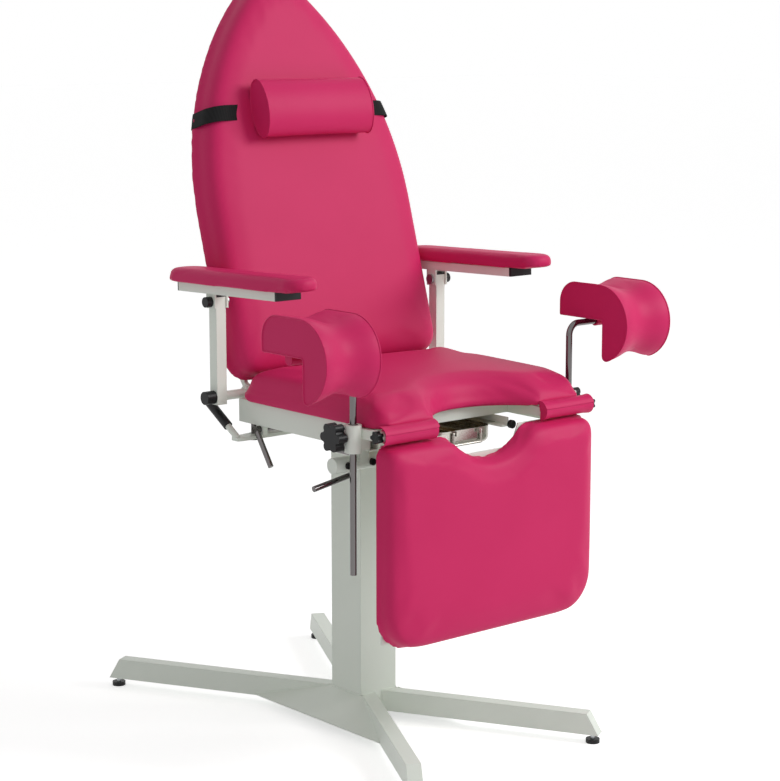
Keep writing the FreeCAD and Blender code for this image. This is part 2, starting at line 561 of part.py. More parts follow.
def seat_pad_shape():
    """A foam seat: its side view, front view and plan cut from one another."""
    half, rear, front, low = size("seat_half"), size("seat_rear"), size("seat_front"), size("rail_high")
    top, front_top, round_ = size("seat_top_rear"), size("seat_top_front"), size("seat_side_round")
    rear_round, nose, fall = size("seat_rear_round"), size("seat_nose"), size("seat_fall")
    side = face_of(
        line((-half, rear, low), (-half, rear, top - rear_round)),
        quarter((-half, rear, top - rear_round), (-half, rear - rear_round, top),
                (-half, rear - rear_round, top - rear_round)),
        line((-half, rear - rear_round, top), (-half, fall - front, front_top)),
        arc((-half, fall - front, front_top), (-half, 0.34 * fall - front, front_top - nose / 2),
            (-half, -front, low + nose)),
        arc((-half, -front, low + nose), (-half, 0.3 * nose - front, low + 0.3 * nose),
            (-half, nose - front, low)),
        line((-half, nose - front, low), (-half, rear, low)))
    across = face_of(
        line((-half, -front, low), (half, -front, low)),
        line((half, -front, low), (half, -front, top - round_)),
        quarter((half, -front, top - round_), (half - round_, -front, top),
                (half - round_, -front, top - round_)),
        line((half - round_, -front, top), (round_ - half, -front, top)),
        quarter((round_ - half, -front, top), (-half, -front, top - round_),
                (round_ - half, -front, top - round_)),
        line((-half, -front, top - round_), (-half, -front, low)))
    plan = rounded_plan(-half, -front, half, rear, size("seat_corner"), low)
    form = side.extrude(Vector(2 * half, 0, 0)).common(across.extrude(Vector(0, front + rear, 0)))
    return form.common(plan.extrude(Vector(0, 0, top - low)))


def cutout_shape():
    """The room over the cut-out: upright at first, and flared round where the seat's top edge is softened."""
    radius, edge = size("cutout_radius"), size("cutout_edge")
    low, top, over = size("rail_high"), size("seat_top_front"), size("seat_top_rear")
    section = face_of(
        line((0, 0, low), (radius, 0, low)),
        line((radius, 0, low), (radius, 0, top - edge)),
        quarter((radius, 0, top - edge), (radius + edge, 0, top), (radius + edge, 0, top - edge)),
        line((radius + edge, 0, top), (radius + edge, 0, over)),
        line((radius + edge, 0, over), (0, 0, over)),
        line((0, 0, over), (0, 0, low)))
    return section.revolve(Vector(), Vector(0, 0, 1), 360)


node(carve(feature(seat_pad_shape()), seat_board, feature(cutout_shape(), *CUTOUT)), "seat_pad")


def back_outline(inset, y):
    """The backrest's pointed-arch outline, pulled in by an inset: round low corners, long arcs, round tip."""
    half, low, shoulder = size("back_half") - inset, size("back_low") + inset, size("back_shoulder")
    radius, tip, corner = size("back_arc") - inset, size("back_tip") - inset, size("back_corner") - inset
    reach = radius - half
    rise = math.sqrt((radius - tip) ** 2 - reach ** 2)
    lean = math.atan2(rise, reach)

    def on_arc(angle, side):
        return (side * (radius * math.cos(angle) - reach), y, shoulder + radius * math.sin(angle))

    edges = [line((corner - half, y, low), (half - corner, y, low)),
             arc(on_arc(lean, 1), (0, y, shoulder + rise + tip), on_arc(lean, -1))]
    for side in (1, -1):
        edges += [quarter((side * (half - corner), y, low), (side * half, y, low + corner),
                          (side * (half - corner), y, low + corner)),
                  line((side * half, y, low + corner), (side * half, y, shoulder)),
                  arc(on_arc(0, side), on_arc(lean / 2, side), on_arc(lean, side))]
    return face_of(*edges)


def back_form(grow):
    """The backrest's upholstered form, grown all round by a gap: rounded more in front than behind."""
    front, rear = size("back_behind") - size("back_thick") - grow, size("back_behind") + grow
    form = back_outline(-grow, front).extrude(Vector(0, rear - front, 0))
    form = form.makeFillet(size("back_front_edge") + grow, edges_at(form, "y", front))
    return form.makeFillet(size("back_rear_edge") + grow, edges_at(form, "y", rear))


def back_board_shape():
    """The plywood board inside the backrest's rear side."""
    rear, thick = size("back_behind"), size("board_thick")
    return back_outline(size("board_inset"), rear - thick).extrude(Vector(0, thick, 0))


def strap_shape():
    """A webbing loop round the backrest at the pillow's height."""
    gap, thick, width = size("soft_gap"), size("strap_thick"), size("strap_width")
    reach = size("back_half") * 2
    band = Part.makeBox(2 * reach, 2 * reach, width, Vector(-reach, -reach, size("pillow_high") - width / 2))
    return back_form(gap + thick).cut(back_form(gap)).common(band)


def pillow_shape():
    """A bolster of oval section that lies along the strap, in front of it."""
    deep, tall = size("pillow_depth") / 2, size("pillow_height") / 2
    rear = size("back_behind") - size("back_thick") - 2 * size("soft_gap") - size("strap_thick")
    centre = Vector(-size("pillow_half"), rear - deep, size("pillow_high"))
    oval = Part.Ellipse(centre + Vector(0, 0, tall), centre + Vector(0, deep, 0), centre)
    return Part.Face(Part.Wire(oval.toShape())).extrude(Vector(2 * size("pillow_half"), 0, 0))


def lean_back(piece):
    """Set a backrest piece, built upright about its hinge, to the reclined rest position."""
    return hang(piece, "0", "back_hinge_rear", "back_hinge_high", Vector(-1, 0, 0), "recline")


# Backrest: a tube frame that turns on the hinge tube, a plywood board and a foam pad round the board.
BEHIND = ("back_behind", "back_behind + back_arm_depth")
ARM_SPAN = ("back_arm_inner", "back_arm_inner + back_arm_width")
EYE_SPAN = ("back_arm_inner + back_arm_width", "back_arm_inner + back_arm_width + eye_sheet")
ARM_BACK = "back_behind + back_arm_depth"
back_arm = join(
    block(ARM_SPAN, BEHIND, ("back_arm_low", "back_arm_high"), local=True),
    plate("YZ_Plane", [("-hinge_tube_radius", "hinge_tube_radius / 2"),
                       ("back_behind", "back_low - lug_margin"),
                       ("back_behind", "back_arm_low * 2"), (ARM_BACK, "back_arm_low * 2"),
                       (ARM_BACK, "back_arm_low"), ("hinge_tube_radius", "-hinge_tube_radius / 2")],
          EYE_SPAN, local=True),
    rod("x", EYE_SPAN, ("0", "0"), "hinge_tube_radius + eye_rim", local=True))
eye_hole = rod("x", EYE_SPAN, ("0", "0"), "hinge_tube_radius + running_gap", local=True)
arm_right = carve(back_arm, eye_hole)
BAR_SPAN = ("-back_arm_inner", "back_arm_inner")
back_bars = [block(BAR_SPAN, BEHIND, (low, f"{low} + tube_size"), local=True)
             for low in ("back_bar_low", "back_bar_high")]
CRANK_Y = "back_crank * cos(back_crank_angle * 1 deg)"
CRANK_Z = "-back_crank * sin(back_crank_angle * 1 deg)"
CRANK_SIDE = "-back_lock_x - lock_head_half - side_gap"
CRANK_SPAN = (f"{CRANK_SIDE} - crank_sheet", CRANK_SIDE)
back_crank = join(
    plate("YZ_Plane", [("back_behind", "back_bar_low + tube_size"), (ARM_BACK, "back_bar_low + tube_size"),
                       (f"{CRANK_Y} + crank_boss", CRANK_Z), (f"{CRANK_Y} - crank_boss", CRANK_Z),
                       ("back_behind", "back_bar_low")], CRANK_SPAN, local=True),
    rod("x", CRANK_SPAN, (CRANK_Y, CRANK_Z), "crank_boss", local=True),
    rod("x", (CRANK_SPAN[0], "lock_head_half - back_lock_x + side_gap"), (CRANK_Y, CRANK_Z), "crank_pin",
        local=True))
node(lean_back(join(arm_right, mirror(arm_right), *back_bars, back_crank)), "back_frame")
node(lean_back(feature(back_board_shape())), "back_board")
back_foam = carve(feature(back_form(0)), feature(back_board_shape()))
for blank in (back_foam.Base, back_foam.Tool):
    place(blank, "0", "0", "0", local=True)
node(lean_back(back_foam), "back_pad")
node(lean_back(feature(strap_shape())), "pillow_strap")
node(lean_back(feature(pillow_shape())), "pillow")


def lock_rod(x, y, high, slot_gap, rise, direction, length):
    """A round lock rod along Y whose slotted head takes a crank's pin; rise is half the pin's up and down."""
    slot_half, slot_high = f"crank_pin + {slot_gap}", f"{rise} + crank_pin + {slot_gap}"
    head_half = f"{slot_half} + lock_head_wall"
    sides = (f"{x} - lock_head_half", f"{x} + lock_head_half")
    head = carve(
        block(sides, (f"{y} - ({head_half})", f"{y} + {head_half}"),
              (f"{high} - ({slot_high}) - lock_head_wall", f"{high} + {slot_high} + lock_head_wall")),
        block(sides, (f"{y} - ({slot_half})", f"{y} + {slot_half}"),
              (f"{high} - ({slot_high})", f"{high} + {slot_high}")))
    near, far = f"{y} + {direction} * ({slot_half})", f"{y} + {direction} * {length}"
    span = (near, far) if direction > 0 else (far, near)
    return join(head, rod("y", span, (x, high), "lock_rod_radius"))


# Backrest lock: a rod moved by the backrest's crank, gripped by a housing under the rear cross tube.
BACK_REST_ANGLE = "(back_crank_angle + recline) * 1 deg"
BACK_ROD_HIGH = f"back_hinge_high - back_crank * (1 + sin({BACK_REST_ANGLE})) / 2"
node(lock_rod("-back_lock_x", f"back_hinge_rear + back_crank * cos({BACK_REST_ANGLE})", BACK_ROD_HIGH,
              "back_slot_gap", f"back_crank * (1 - sin({BACK_REST_ANGLE})) / 2", -1, "back_lock_length"),
     "back_lock_rod")
HOUSING_X = ("-back_lock_x - housing_half", "-back_lock_x + housing_half")
CLAMP_TIP = "-back_lock_x - lock_rod_radius - side_gap * 4"
FINGER = ("-back_lock_x", "finger_rear")
housing = carve(
    block(HOUSING_X, ("-housing_front", "housing_rear"), ("housing_low", "cross_low")),
    rod("y", ("-housing_front", "housing_rear"), ("-back_lock_x", BACK_ROD_HIGH),
        "lock_rod_radius + running_gap"),
    rod("x", (HOUSING_X[0], f"{CLAMP_TIP} + side_gap"), CLAMP_AXIS, "clamp_radius + running_gap"),
    block(("-back_lock_x - finger_radius * 2", "-back_lock_x + finger_radius * 2"),
          ("finger_rear - finger_radius * 1.5", "housing_rear"),
          ("housing_low", "finger_top + side_gap * 4")))
node(housing, "back_lock_housing")

# Backrest release lever: a flat bell crank on its pin, with a finger in the housing and a raised hand bar.
LEVER_Z = ("release_low", "release_low + release_sheet")
HANDLE = ("-handle_x", "handle_rear", "release_low + release_sheet / 2")
lever = carve(
    join(plate("XY_Plane", [("-release_inner", "finger_rear - finger_radius * 2"),
                            ("-release_inner", "finger_rear + finger_radius * 2"),
                            ("-release_x", "release_rear + release_pin_radius * 2"),
                            ("-handle_x - handle_radius", "handle_rear + handle_radius * 2"),
                            ("-handle_x - handle_radius", "handle_rear - handle_radius"),
                            ("-handle_x + handle_radius", "handle_rear - handle_radius * 1.5")], LEVER_Z),
         rod("z", LEVER_Z, RELEASE_SPOT, "release_pin_radius * 2"),
         rod("z", ("release_low", "finger_top"), FINGER, "finger_radius"),
         leaning_bar(HANDLE, Vector(-1, 0, 0), "handle_lean", "handle_radius", "handle_length")),
    rod("z", LEVER_Z, RELEASE_SPOT, "release_pin_radius + running_gap"))
node(lever, "back_release_lever")
GRIP = (HANDLE[0], f"{HANDLE[1]} + grip_start * sin(handle_lean * 1 deg)",
        f"{HANDLE[2]} + grip_start * cos(handle_lean * 1 deg)")
GRIP_LENGTH = "handle_length - grip_start + grip_radius / 2"
grip = carve(leaning_bar(GRIP, Vector(-1, 0, 0), "handle_lean", "grip_radius", GRIP_LENGTH),
             leaning_bar(GRIP, Vector(-1, 0, 0), "handle_lean", "handle_radius",
                         "handle_length - grip_start"))
node(grip, "release_grip")

# Backrest clamp lever: a cross shaft into the lock housing, turned by a hanging bar.
clamp_lever = join(
    rod("x", ("-clamp_outer", CLAMP_TIP), CLAMP_AXIS, "clamp_radius"),
    leaning_bar(("-clamp_bar_x", *CLAMP_AXIS), Vector(1, 0, 0), "180 - clamp_lean", "clamp_bar_radius",
                "clamp_bar_length"))
node(clamp_lever, "back_clamp_lever")

# Legrest frame: a back sheet with a scooped top, on two hinge tubes, with the lock's crank on the left.
SHEET_SIDE = "leg_half - leg_sheet_margin"
SHEET_LOW = "leg_pad_low + leg_sheet_margin"
NOTCH_SIDE = "leg_notch_half + leg_notch_flare"
leg_sheet = plate("XZ_Plane", [(f"-({SHEET_SIDE})", SHEET_LOW), (SHEET_SIDE, SHEET_LOW),
                               (SHEET_SIDE, "leg_pad_top"), (NOTCH_SIDE, "leg_pad_top"),
                               ("leg_notch_half", "leg_notch_low"),
                               ("-leg_notch_half", "leg_notch_low"), (f"-({NOTCH_SIDE})", "leg_pad_top"),
                               (f"-({SHEET_SIDE})", "leg_pad_top")], ("0", "leg_sheet"), middle=True)
place(leg_sheet, "0", "leg_sheet / 2 - leg_pad_rear", "0")
TUBE_SPAN = ("leg_lug_inner + lug_sheet + side_gap", "leg_lug_outer - side_gap")
leg_tube = rod("x", TUBE_SPAN, LEG_HINGE, "leg_tube_radius")
WEB_SPAN = ("web_inner", "web_inner + lug_sheet")
WEB_TOP = "leg_hinge_high - leg_tube_radius * 2"
web = plate("YZ_Plane", [("-leg_hinge_front - leg_tube_radius", "leg_hinge_high - leg_tube_radius / 2"),
                         ("-leg_pad_rear", "leg_pad_top + side_gap"),
                         ("leg_sheet - leg_pad_rear", "leg_pad_top + side_gap"),
                         ("leg_sheet - leg_pad_rear", "leg_pad_top - web_length"),
                         ("leg_sheet + web_depth - leg_pad_rear", "leg_pad_top - web_length"),
                         ("leg_sheet + web_depth - leg_pad_rear", WEB_TOP),
                         ("leg_tube_radius - leg_hinge_front", "leg_hinge_high + leg_tube_radius / 3")],
            WEB_SPAN)
LEG_CRANK_Y = f"leg_crank * sin({LEG_REST_ANGLE}) - leg_hinge_front"
LEG_CRANK_Z = f"leg_hinge_high - leg_crank * cos({LEG_REST_ANGLE})"
LEG_CRANK_SIDE = "-leg_lock_x - lock_head_half - side_gap"
LEG_CRANK_SPAN = (f"{LEG_CRANK_SIDE} - crank_sheet", LEG_CRANK_SIDE)
leg_crank = join(
    plate("YZ_Plane", [("-leg_hinge_front - leg_tube_radius / 2", "leg_hinge_high - leg_tube_radius * 0.8"),
                       ("-leg_pad_rear", "leg_pad_top + side_gap"),
                       ("leg_sheet - leg_pad_rear", "leg_pad_top - web_depth"),
                       (f"{LEG_CRANK_Y} - crank_boss * 0.7", f"{LEG_CRANK_Z} - crank_boss * 0.7"),
                       (f"{LEG_CRANK_Y} + crank_boss * 0.7", f"{LEG_CRANK_Z} + crank_boss * 0.7"),
                       ("leg_tube_radius * 0.8 - leg_hinge_front", "leg_hinge_high + leg_tube_radius / 2")],
          LEG_CRANK_SPAN),
    rod("x", LEG_CRANK_SPAN, (LEG_CRANK_Y, LEG_CRANK_Z), "crank_boss"),
    rod("x", (LEG_CRANK_SPAN[0], "lock_head_half - leg_lock_x + side_gap"), (LEG_CRANK_Y, LEG_CRANK_Z),
        "crank_pin"))
leg_bore = rod("x", TUBE_SPAN, LEG_HINGE, "leg_pin_radius + running_gap")
leg_weld = join(leg_sheet, leg_tube, mirror(leg_tube), web, mirror(web), leg_crank)
node(carve(leg_weld, leg_bore, mirror(leg_bore)), "leg_frame")
node(lock_rod("-leg_lock_x", LEG_CRANK_Y, LEG_ROD_HIGH, "leg_slot_gap",
              f"leg_crank * (1 - cos({LEG_REST_ANGLE})) / 2", 1, "leg_lock_length"), "leg_lock_rod")

# Roll pads: soft sleeves on the hinge tubes, slit where the frame's webs and crank pass.
ROLL_SPAN = ("roll_inner", "roll_outer")
roll = carve(rod("x", ROLL_SPAN, LEG_HINGE, "roll_radius"), rod("x", ROLL_SPAN, LEG_HINGE, "leg_tube_radius"))


def slit(span):
    """Room for a sheet that leaves a hinge tube downwards and backwards."""
    return block((f"{span[0]} - soft_gap", f"{span[1]} + soft_gap"),
                 ("-leg_hinge_front - roll_radius", "roll_radius - leg_hinge_front"),
                 ("leg_hinge_high - roll_radius", "leg_hinge_high + roll_radius / 2"))


roll_right = carve(roll, slit(WEB_SPAN))
roll_left = carve(mirror(roll), mirror(slit(WEB_SPAN)), slit(LEG_CRANK_SPAN))
node(group(roll_right, roll_left), "leg_rolls")


def leg_pad_shape():
    """A foam pad with round corners, a scooped top with round lips, and softened front edges."""
    half, low, top = size("leg_half"), size("leg_pad_low"), size("leg_pad_top")
    front, rear = -size("leg_pad_front"), -size("leg_pad_rear")
    corner, shoulder = size("leg_pad_corner"), size("leg_pad_shoulder")
    scoop, lip, dip = size("scoop_radius"), size("scoop_lip"), size("scoop_low")
    drop = dip + scoop - top + lip
    lip_x = math.sqrt((scoop + lip) ** 2 - drop ** 2)
    share = scoop / (scoop + lip)
    meet_x, meet_z = lip_x * share, dip + scoop - drop * share
    edges = [line((corner - half, front, low), (half - corner, front, low)),
             arc((meet_x, front, meet_z), (0, front, dip), (-meet_x, front, meet_z))]
    for side in (1, -1):
        edges += [quarter((side * (half - corner), front, low), (side * half, front, low + corner),
                          (side * (half - corner), front, low + corner)),
                  line((side * half, front, low + corner), (side * half, front, top - shoulder)),
                  quarter((side * half, front, top - shoulder), (side * (half - shoulder), front, top),
                          (side * (half - shoulder), front, top - shoulder)),
                  line((side * (half - shoulder), front, top), (side * lip_x, front, top)),
                  quarter((side * lip_x, front, top), (side * meet_x, front, meet_z),
                          (side * lip_x, front, top - lip))]
    form = face_of(*edges).extrude(Vector(0, rear - front, 0))
    return form.makeFillet(size("leg_pad_edge"), edges_at(form, "y", front))


node(feature(leg_pad_shape()), "leg_pad")

# Legrest lock lever: a screw up into the clamp tube, turned by a bar that points outwards.
LEVER_HIGH = f"{LEG_ROD_HIGH} - lock_tube_radius * 1.25"
leg_lever = join(
    rod("z", (f"{LEVER_HIGH} - leg_lever_radius * 2", f"{LEG_ROD_HIGH} - lock_tube_radius / 2"), LEVER_SPOT,
        "clamp_radius"),
    leaning_bar((*LEVER_SPOT, f"{LEVER_HIGH} - leg_lever_radius / 2"), Vector(0, -1, 0),
                "90 + leg_lever_drop", "leg_lever_radius", "leg_lever_length"))
node(leg_lever, "leg_lock_lever")


def tray(inset):
    """The basin's round-cornered form, pulled in by its wall and open upwards."""
    half, low, high = size("basin_half") - inset, size("basin_low") + inset, size("basin_high")
    front, rear = inset - size("basin_front"), -size("basin_rear") - inset
    plan = rounded_plan(-half, front, half, rear, size("basin_corner") - inset, low)
    form = plan.extrude(Vector(0, 0, high - low))
    return form.makeFillet(size("basin_round") - inset, edges_at(form, "z", low))


# Basin: a pressed stainless tray with side rims on the runners, and a hinged wire bail in front.
rim = block(("basin_half - basin_wall", "basin_rim"),
            ("basin_corner - basin_front", "-basin_rear - basin_corner"),
            ("runner_high + soft_gap", "runner_high + soft_gap + basin_wall"))
BAIL_AXIS = ("-bail_front", "bail_high")
EAR_SPAN = ("bail_ear", "bail_ear + bail_ear_sheet")
ear = carve(
    block(EAR_SPAN, ("-bail_front - bail_radius * 2", "-basin_front"),
          ("bail_high - bail_radius * 2", "bail_high + bail_radius * 2")),
    rod("x", EAR_SPAN, BAIL_AXIS, "bail_radius + running_gap"))
basin_shell = carve(feature(tray(0)), feature(tray(size("basin_wall"))))
node(join(basin_shell, rim, mirror(rim), ear, mirror(ear)), "basin")


def ball(x, y, z, radius):
    """A round wire corner."""
    corner = doc.addObject("Part::Sphere", "ball")
    bind(corner, "Radius", radius)
    return place(corner, x, y, z)


bail_side = join(
    rod("x", ("bail_ear - bail_radius", "bail_half"), BAIL_AXIS, "bail_radius"),
    ball("bail_half", *BAIL_AXIS, "bail_radius"),
    rod("z", ("bail_low", "bail_high"), ("bail_half", "-bail_front"), "bail_radius"),
    ball("bail_half", "-bail_front", "bail_low", "bail_radius"))
bail_grip = rod("x", ("-bail_half", "bail_half"), ("-bail_front", "bail_low"), "bail_radius")
node(join(bail_side, mirror(bail_side), bail_grip), "basin_handle")


def tilt_arm(piece):
    """Set an armrest piece, built level about its pivot, to its slight rise towards the front."""
    return hang(piece, "0", *ARM_PIVOT, Vector(-1, 0, 0), "arm_rise")


# Armrests: a flat tube with a fork over the post's top, end caps, and a foam pad on top.
ARM_X = ("arm_rail_inner", "arm_rail_outer")
ARM_Z = ("arm_rail_low", "arm_rail_low + arm_rail_thick")
ARM_Y = ("-arm_rail_front", "arm_rail_rear")
FORKS = [(FORK_INNER, "post_inner - side_gap"), ("post_inner + post_size + side_gap", FORK_OUTER)]
arm_tube = carve(
    block(ARM_X, ARM_Y, ARM_Z, local=True),
    block(("arm_rail_inner + arm_rail_wall", "arm_rail_outer - arm_rail_wall"), ARM_Y,
          ("arm_rail_low + arm_rail_wall", "arm_rail_low + arm_rail_thick - arm_rail_wall"), local=True))
fork_cheeks = [block(span, ("-fork_half", "fork_half"), ("-fork_drop", "arm_rail_low + arm_rail_wall / 2"),
                     local=True) for span in FORKS]
fork_holes = [rod("x", span, ("0", "0"), "arm_bolt_radius + running_gap", local=True) for span in FORKS]
arm_rail = carve(join(arm_tube, *fork_cheeks), *fork_holes)
both(tilt_arm(arm_rail), "arm_rail")
arm_caps = group(
    block(ARM_X, ("-arm_rail_front - arm_cap_length", "-arm_rail_front"), ARM_Z, local=True),
    join(block(ARM_X, ("arm_rail_rear", "arm_rail_rear + arm_cap_length / 2"), ARM_Z, local=True),
         rod("y", ("arm_rail_rear", "arm_rail_rear + arm_knob_length"),
             ("(arm_rail_inner + arm_rail_outer) / 2", "arm_rail_low + arm_rail_thick / 2"),
             "arm_knob_radius", local=True)))
both(tilt_arm(arm_caps), "arm_caps")


def arm_pad_shape():
    """A long pad with half-round ends and a softened top edge."""
    low = size("arm_rail_low") + size("arm_rail_thick")
    plan = rounded_plan(size("arm_pad_inner"), -size("arm_pad_front"), size("arm_pad_outer"),
                        size("arm_pad_rear"), size("arm_pad_corner"), low)
    form = plan.extrude(Vector(0, 0, size("arm_pad_thick")))
    return form.makeFillet(size("arm_pad_edge"), edges_at(form, "z", low + size("arm_pad_thick")))


both(tilt_arm(feature(arm_pad_shape())), "arm_pad")
KNOB_INNER = "post_inner + post_size + side_gap"
post_knob = join(rod("x", ("post_stud_inner", KNOB_INNER), BACK_HINGE, "post_stud_radius"),
                 rod("x", (KNOB_INNER, f"{KNOB_INNER} + post_knob_length"), BACK_HINGE, "post_knob_radius"))
both(post_knob, "post_knob")

# Leg holders: a plastic bush turns in the sleeve, a bent rod slides in the bush, and a saddle tube on the
# rod's level end carries the crutch pad. A star knob closes the sleeve.
bush = carve(rod("z", ("sleeve_low", "sleeve_high"), SLEEVE, "holder_radius + bush_wall + running_gap"),
             rod("z", ("sleeve_low", "sleeve_high"), SLEEVE, "holder_radius + running_gap"))
both(bush, "holder_bush")
BEND_LOW = "holder_high - holder_bend"
bend = doc.addObject("Part::Torus", "bend")
bend.Angle3 = 90
bend.Placement = Placement(Vector(), Rotation(Vector(1, 0, 0), 90).multiply(Rotation(Vector(0, 0, 1), 90)))
bind(bend, "Radius1", "holder_bend")
bind(bend, "Radius2", "holder_radius")
place(bend, "holder_x + holder_bend", "-holder_front", BEND_LOW)
LEVEL_END = ("-holder_front", "holder_high")
holder = join(rod("z", ("holder_low", BEND_LOW), SLEEVE, "holder_radius"), bend,
              rod("x", ("holder_x + holder_bend", "holder_end"), LEVEL_END, "holder_radius"))
both(holder, "holder_rod")
SADDLE_SPAN = ("saddle_inner", "saddle_outer")
SADDLE_TOP = "holder_high + holder_radius + saddle_wall"
saddle = carve(
    join(rod("x", SADDLE_SPAN, LEVEL_END, "holder_radius + saddle_wall"),
         block(SADDLE_SPAN, ("-holder_front - saddle_half", "saddle_half - holder_front"),
               (f"{SADDLE_TOP} - saddle_sheet", SADDLE_TOP))),
    rod("x", ("saddle_inner", "holder_end + side_gap"), LEVEL_END, "holder_radius + running_gap"))
both(saddle, "crutch_saddle")


def crutch_shape():
    """A crutch pad's side view: a level rest for the thigh that turns down in front in one round sweep."""
    inner, under = size("crutch_inner"), size("holder_high") + size("holder_radius") + size("saddle_wall")
    front, rear, top = -size("crutch_front"), -size("crutch_rear"), size("crutch_top")
    sweep, tip, notch, heel = (size(f"crutch_{name}") for name in ("round", "tip", "notch", "rear_round"))
    knee = front + size("crutch_arm")
    middle_y, middle_z = front + sweep, top - sweep
    tip_y = knee - tip
    tip_z = middle_z - math.sqrt((sweep - tip) ** 2 - (tip_y - middle_y) ** 2)
    share = sweep / (sweep - tip)
    end_y, end_z = middle_y + (tip_y - middle_y) * share, middle_z + (tip_z - middle_z) * share
    face = face_of(
        line((inner, rear, under), (inner, knee + notch, under)),
        quarter((inner, knee + notch, under), (inner, knee, under - notch),
                (inner, knee + notch, under - notch)),
        line((inner, knee, under - notch), (inner, knee, tip_z)),
        quarter((inner, knee, tip_z), (inner, end_y, end_z), (inner, tip_y, tip_z)),
        arc((inner, end_y, end_z), (inner, front, middle_z), (inner, middle_y, top)),
        line((inner, middle_y, top), (inner, rear - heel, top)),
        quarter((inner, rear - heel, top), (inner, rear, top - heel), (inner, rear - heel, top - heel)),
        line((inner, rear, top - heel), (inner, rear, under)))
    return face.extrude(Vector(size("crutch_outer") - inner, 0, 0))


both(feature(crutch_shape()), "crutch")
star_knob = join(lobed(("star_inner", "star_outer"), STAR_AXIS, "star_core", "star_circle", "star_lobe", 6),
                 rod("x", ("star_hub_inner", "star_inner"), STAR_AXIS, "star_hub"),
                 rod("x", ("star_stud_inner", "star_hub_inner"), STAR_AXIS, "star_stud"))
both(star_knob, "star_knob")

# Every object has to be sound before anything is written.
doc.recompute()
for thing in doc.Objects:
    if "Invalid" in thing.State or "Error" in thing.State:
        raise RuntimeError(f"{thing.Name} ({thing.Label}) failed: {thing.State}")
for piece in NODES:
    if piece.Shape.isNull() or not piece.Shape.isValid() or not piece.Shape.Solids:
        raise RuntimeError(f"{piece.Label} has no sound solid")
for piece in NODES:
    piece.Shape.exportStep(f"parts/{piece.Label}.step")
print(len(NODES), "sub-parts written")
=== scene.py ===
import math

import bmesh
import bpy
import numpy as np
from mathutils import Matrix, Vector


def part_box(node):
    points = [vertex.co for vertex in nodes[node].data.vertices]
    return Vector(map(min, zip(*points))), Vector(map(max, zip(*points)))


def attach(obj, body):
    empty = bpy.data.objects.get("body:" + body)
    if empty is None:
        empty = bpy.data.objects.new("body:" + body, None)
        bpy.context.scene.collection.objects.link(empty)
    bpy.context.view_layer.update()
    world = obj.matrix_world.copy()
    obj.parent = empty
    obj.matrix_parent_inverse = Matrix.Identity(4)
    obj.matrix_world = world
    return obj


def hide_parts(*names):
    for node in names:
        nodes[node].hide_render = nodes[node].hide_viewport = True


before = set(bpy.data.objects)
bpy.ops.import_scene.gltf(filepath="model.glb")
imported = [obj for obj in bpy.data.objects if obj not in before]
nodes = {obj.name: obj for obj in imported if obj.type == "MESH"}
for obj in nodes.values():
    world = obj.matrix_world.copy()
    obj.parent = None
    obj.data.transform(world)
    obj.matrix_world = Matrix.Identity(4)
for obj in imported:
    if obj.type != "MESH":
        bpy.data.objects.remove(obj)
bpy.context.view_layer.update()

# Column stand: a square steel tube on four tube legs with sloping tips, braced by two sheet gussets.
# All of it is welded up and powder coated white, so the edges are soft and the weld beads are filled over.
MM = 0.001
LEG_WIDTH, LEG_TOP, LEG_LOW = 32 * MM, 66 * MM, 20 * MM
LEG_SPLAY = math.radians(28.8)
GUSSET_LIP = 4 * MM
WELD_BEAD, BEAD_STEP, RIPPLE_LENGTH = 2.2 * MM, 3 * MM, 5 * MM


def linear(hex_code):
    """An sRGB hex colour as the linear colour that shaders use."""
    parts = [int(hex_code[i:i + 2], 16) / 255 for i in (0, 2, 4)]
    return [part / 12.92 if part <= 0.04045 else ((part + 0.055) / 1.055) ** 2.4 for part in parts] + [1.0]


def add(owner, kind, inputs=None, **settings):
    """Add one node to a finish, the world or a tree: settings are its properties, inputs values or links."""
    tree = getattr(owner, "node_tree", owner)
    node = tree.nodes.new(kind)
    for name, value in settings.items():
        setattr(node, name, value)
    for name, value in (inputs or {}).items():
        if isinstance(value, bpy.types.NodeSocket):
            tree.links.new(value, node.inputs[name])
        else:
            node.inputs[name].default_value = value
    return node


def new_finish(name, **constants):
    """A finish with its surface shader; constants are the shader's own socket values."""
    finish = bpy.data.materials.new(name)
    finish.use_nodes = True
    surface = finish.node_tree.nodes["Principled BSDF"]
    for socket, value in constants.items():
        surface.inputs[socket.replace("_", " ").title().replace("Ior", "IOR")].default_value = value
    return finish, surface


def drive(owner, shader, **sockets):
    """Link sockets to a shader's inputs."""
    for name, source in sockets.items():
        owner.node_tree.links.new(source, shader.inputs[name.replace("_", " ").title()])


def own_place(finish):
    """Points in a piece's own frame, in metres."""
    return add(finish, "ShaderNodeTexCoord").outputs["Object"]


def noise(finish, scale, detail, stretch=None):
    """Noise fixed to a piece: patches per metre, levels of detail, and a scale of its own for each axis."""
    place = own_place(finish)
    if stretch:
        place = add(finish, "ShaderNodeMapping", {"Vector": place, "Scale": stretch}).outputs["Vector"]
    node = add(finish, "ShaderNodeTexNoise", {"Vector": place, "Scale": scale, "Detail": detail})
    return node.outputs["Fac"]


def tint(finish, mask, dark, light):
    """A colour that a mask chooses between two hex colours."""
    ramp = add(finish, "ShaderNodeValToRGB", {"Fac": mask})
    ramp.color_ramp.elements[0].color = linear(dark)
    ramp.color_ramp.elements[1].color = linear(light)
    return ramp.outputs["Color"]


def between(owner, mask, low, high):
    """A value that a mask chooses between two."""
    return add(owner, "ShaderNodeMapRange", {"Value": mask, "To Min": low, "To Max": high}).outputs["Result"]


def soft_edge(finish, radius):
    """Normals that make a piece's corners look rounded."""
    return add(finish, "ShaderNodeBevel", {"Radius": radius}, samples=6).outputs["Normal"]


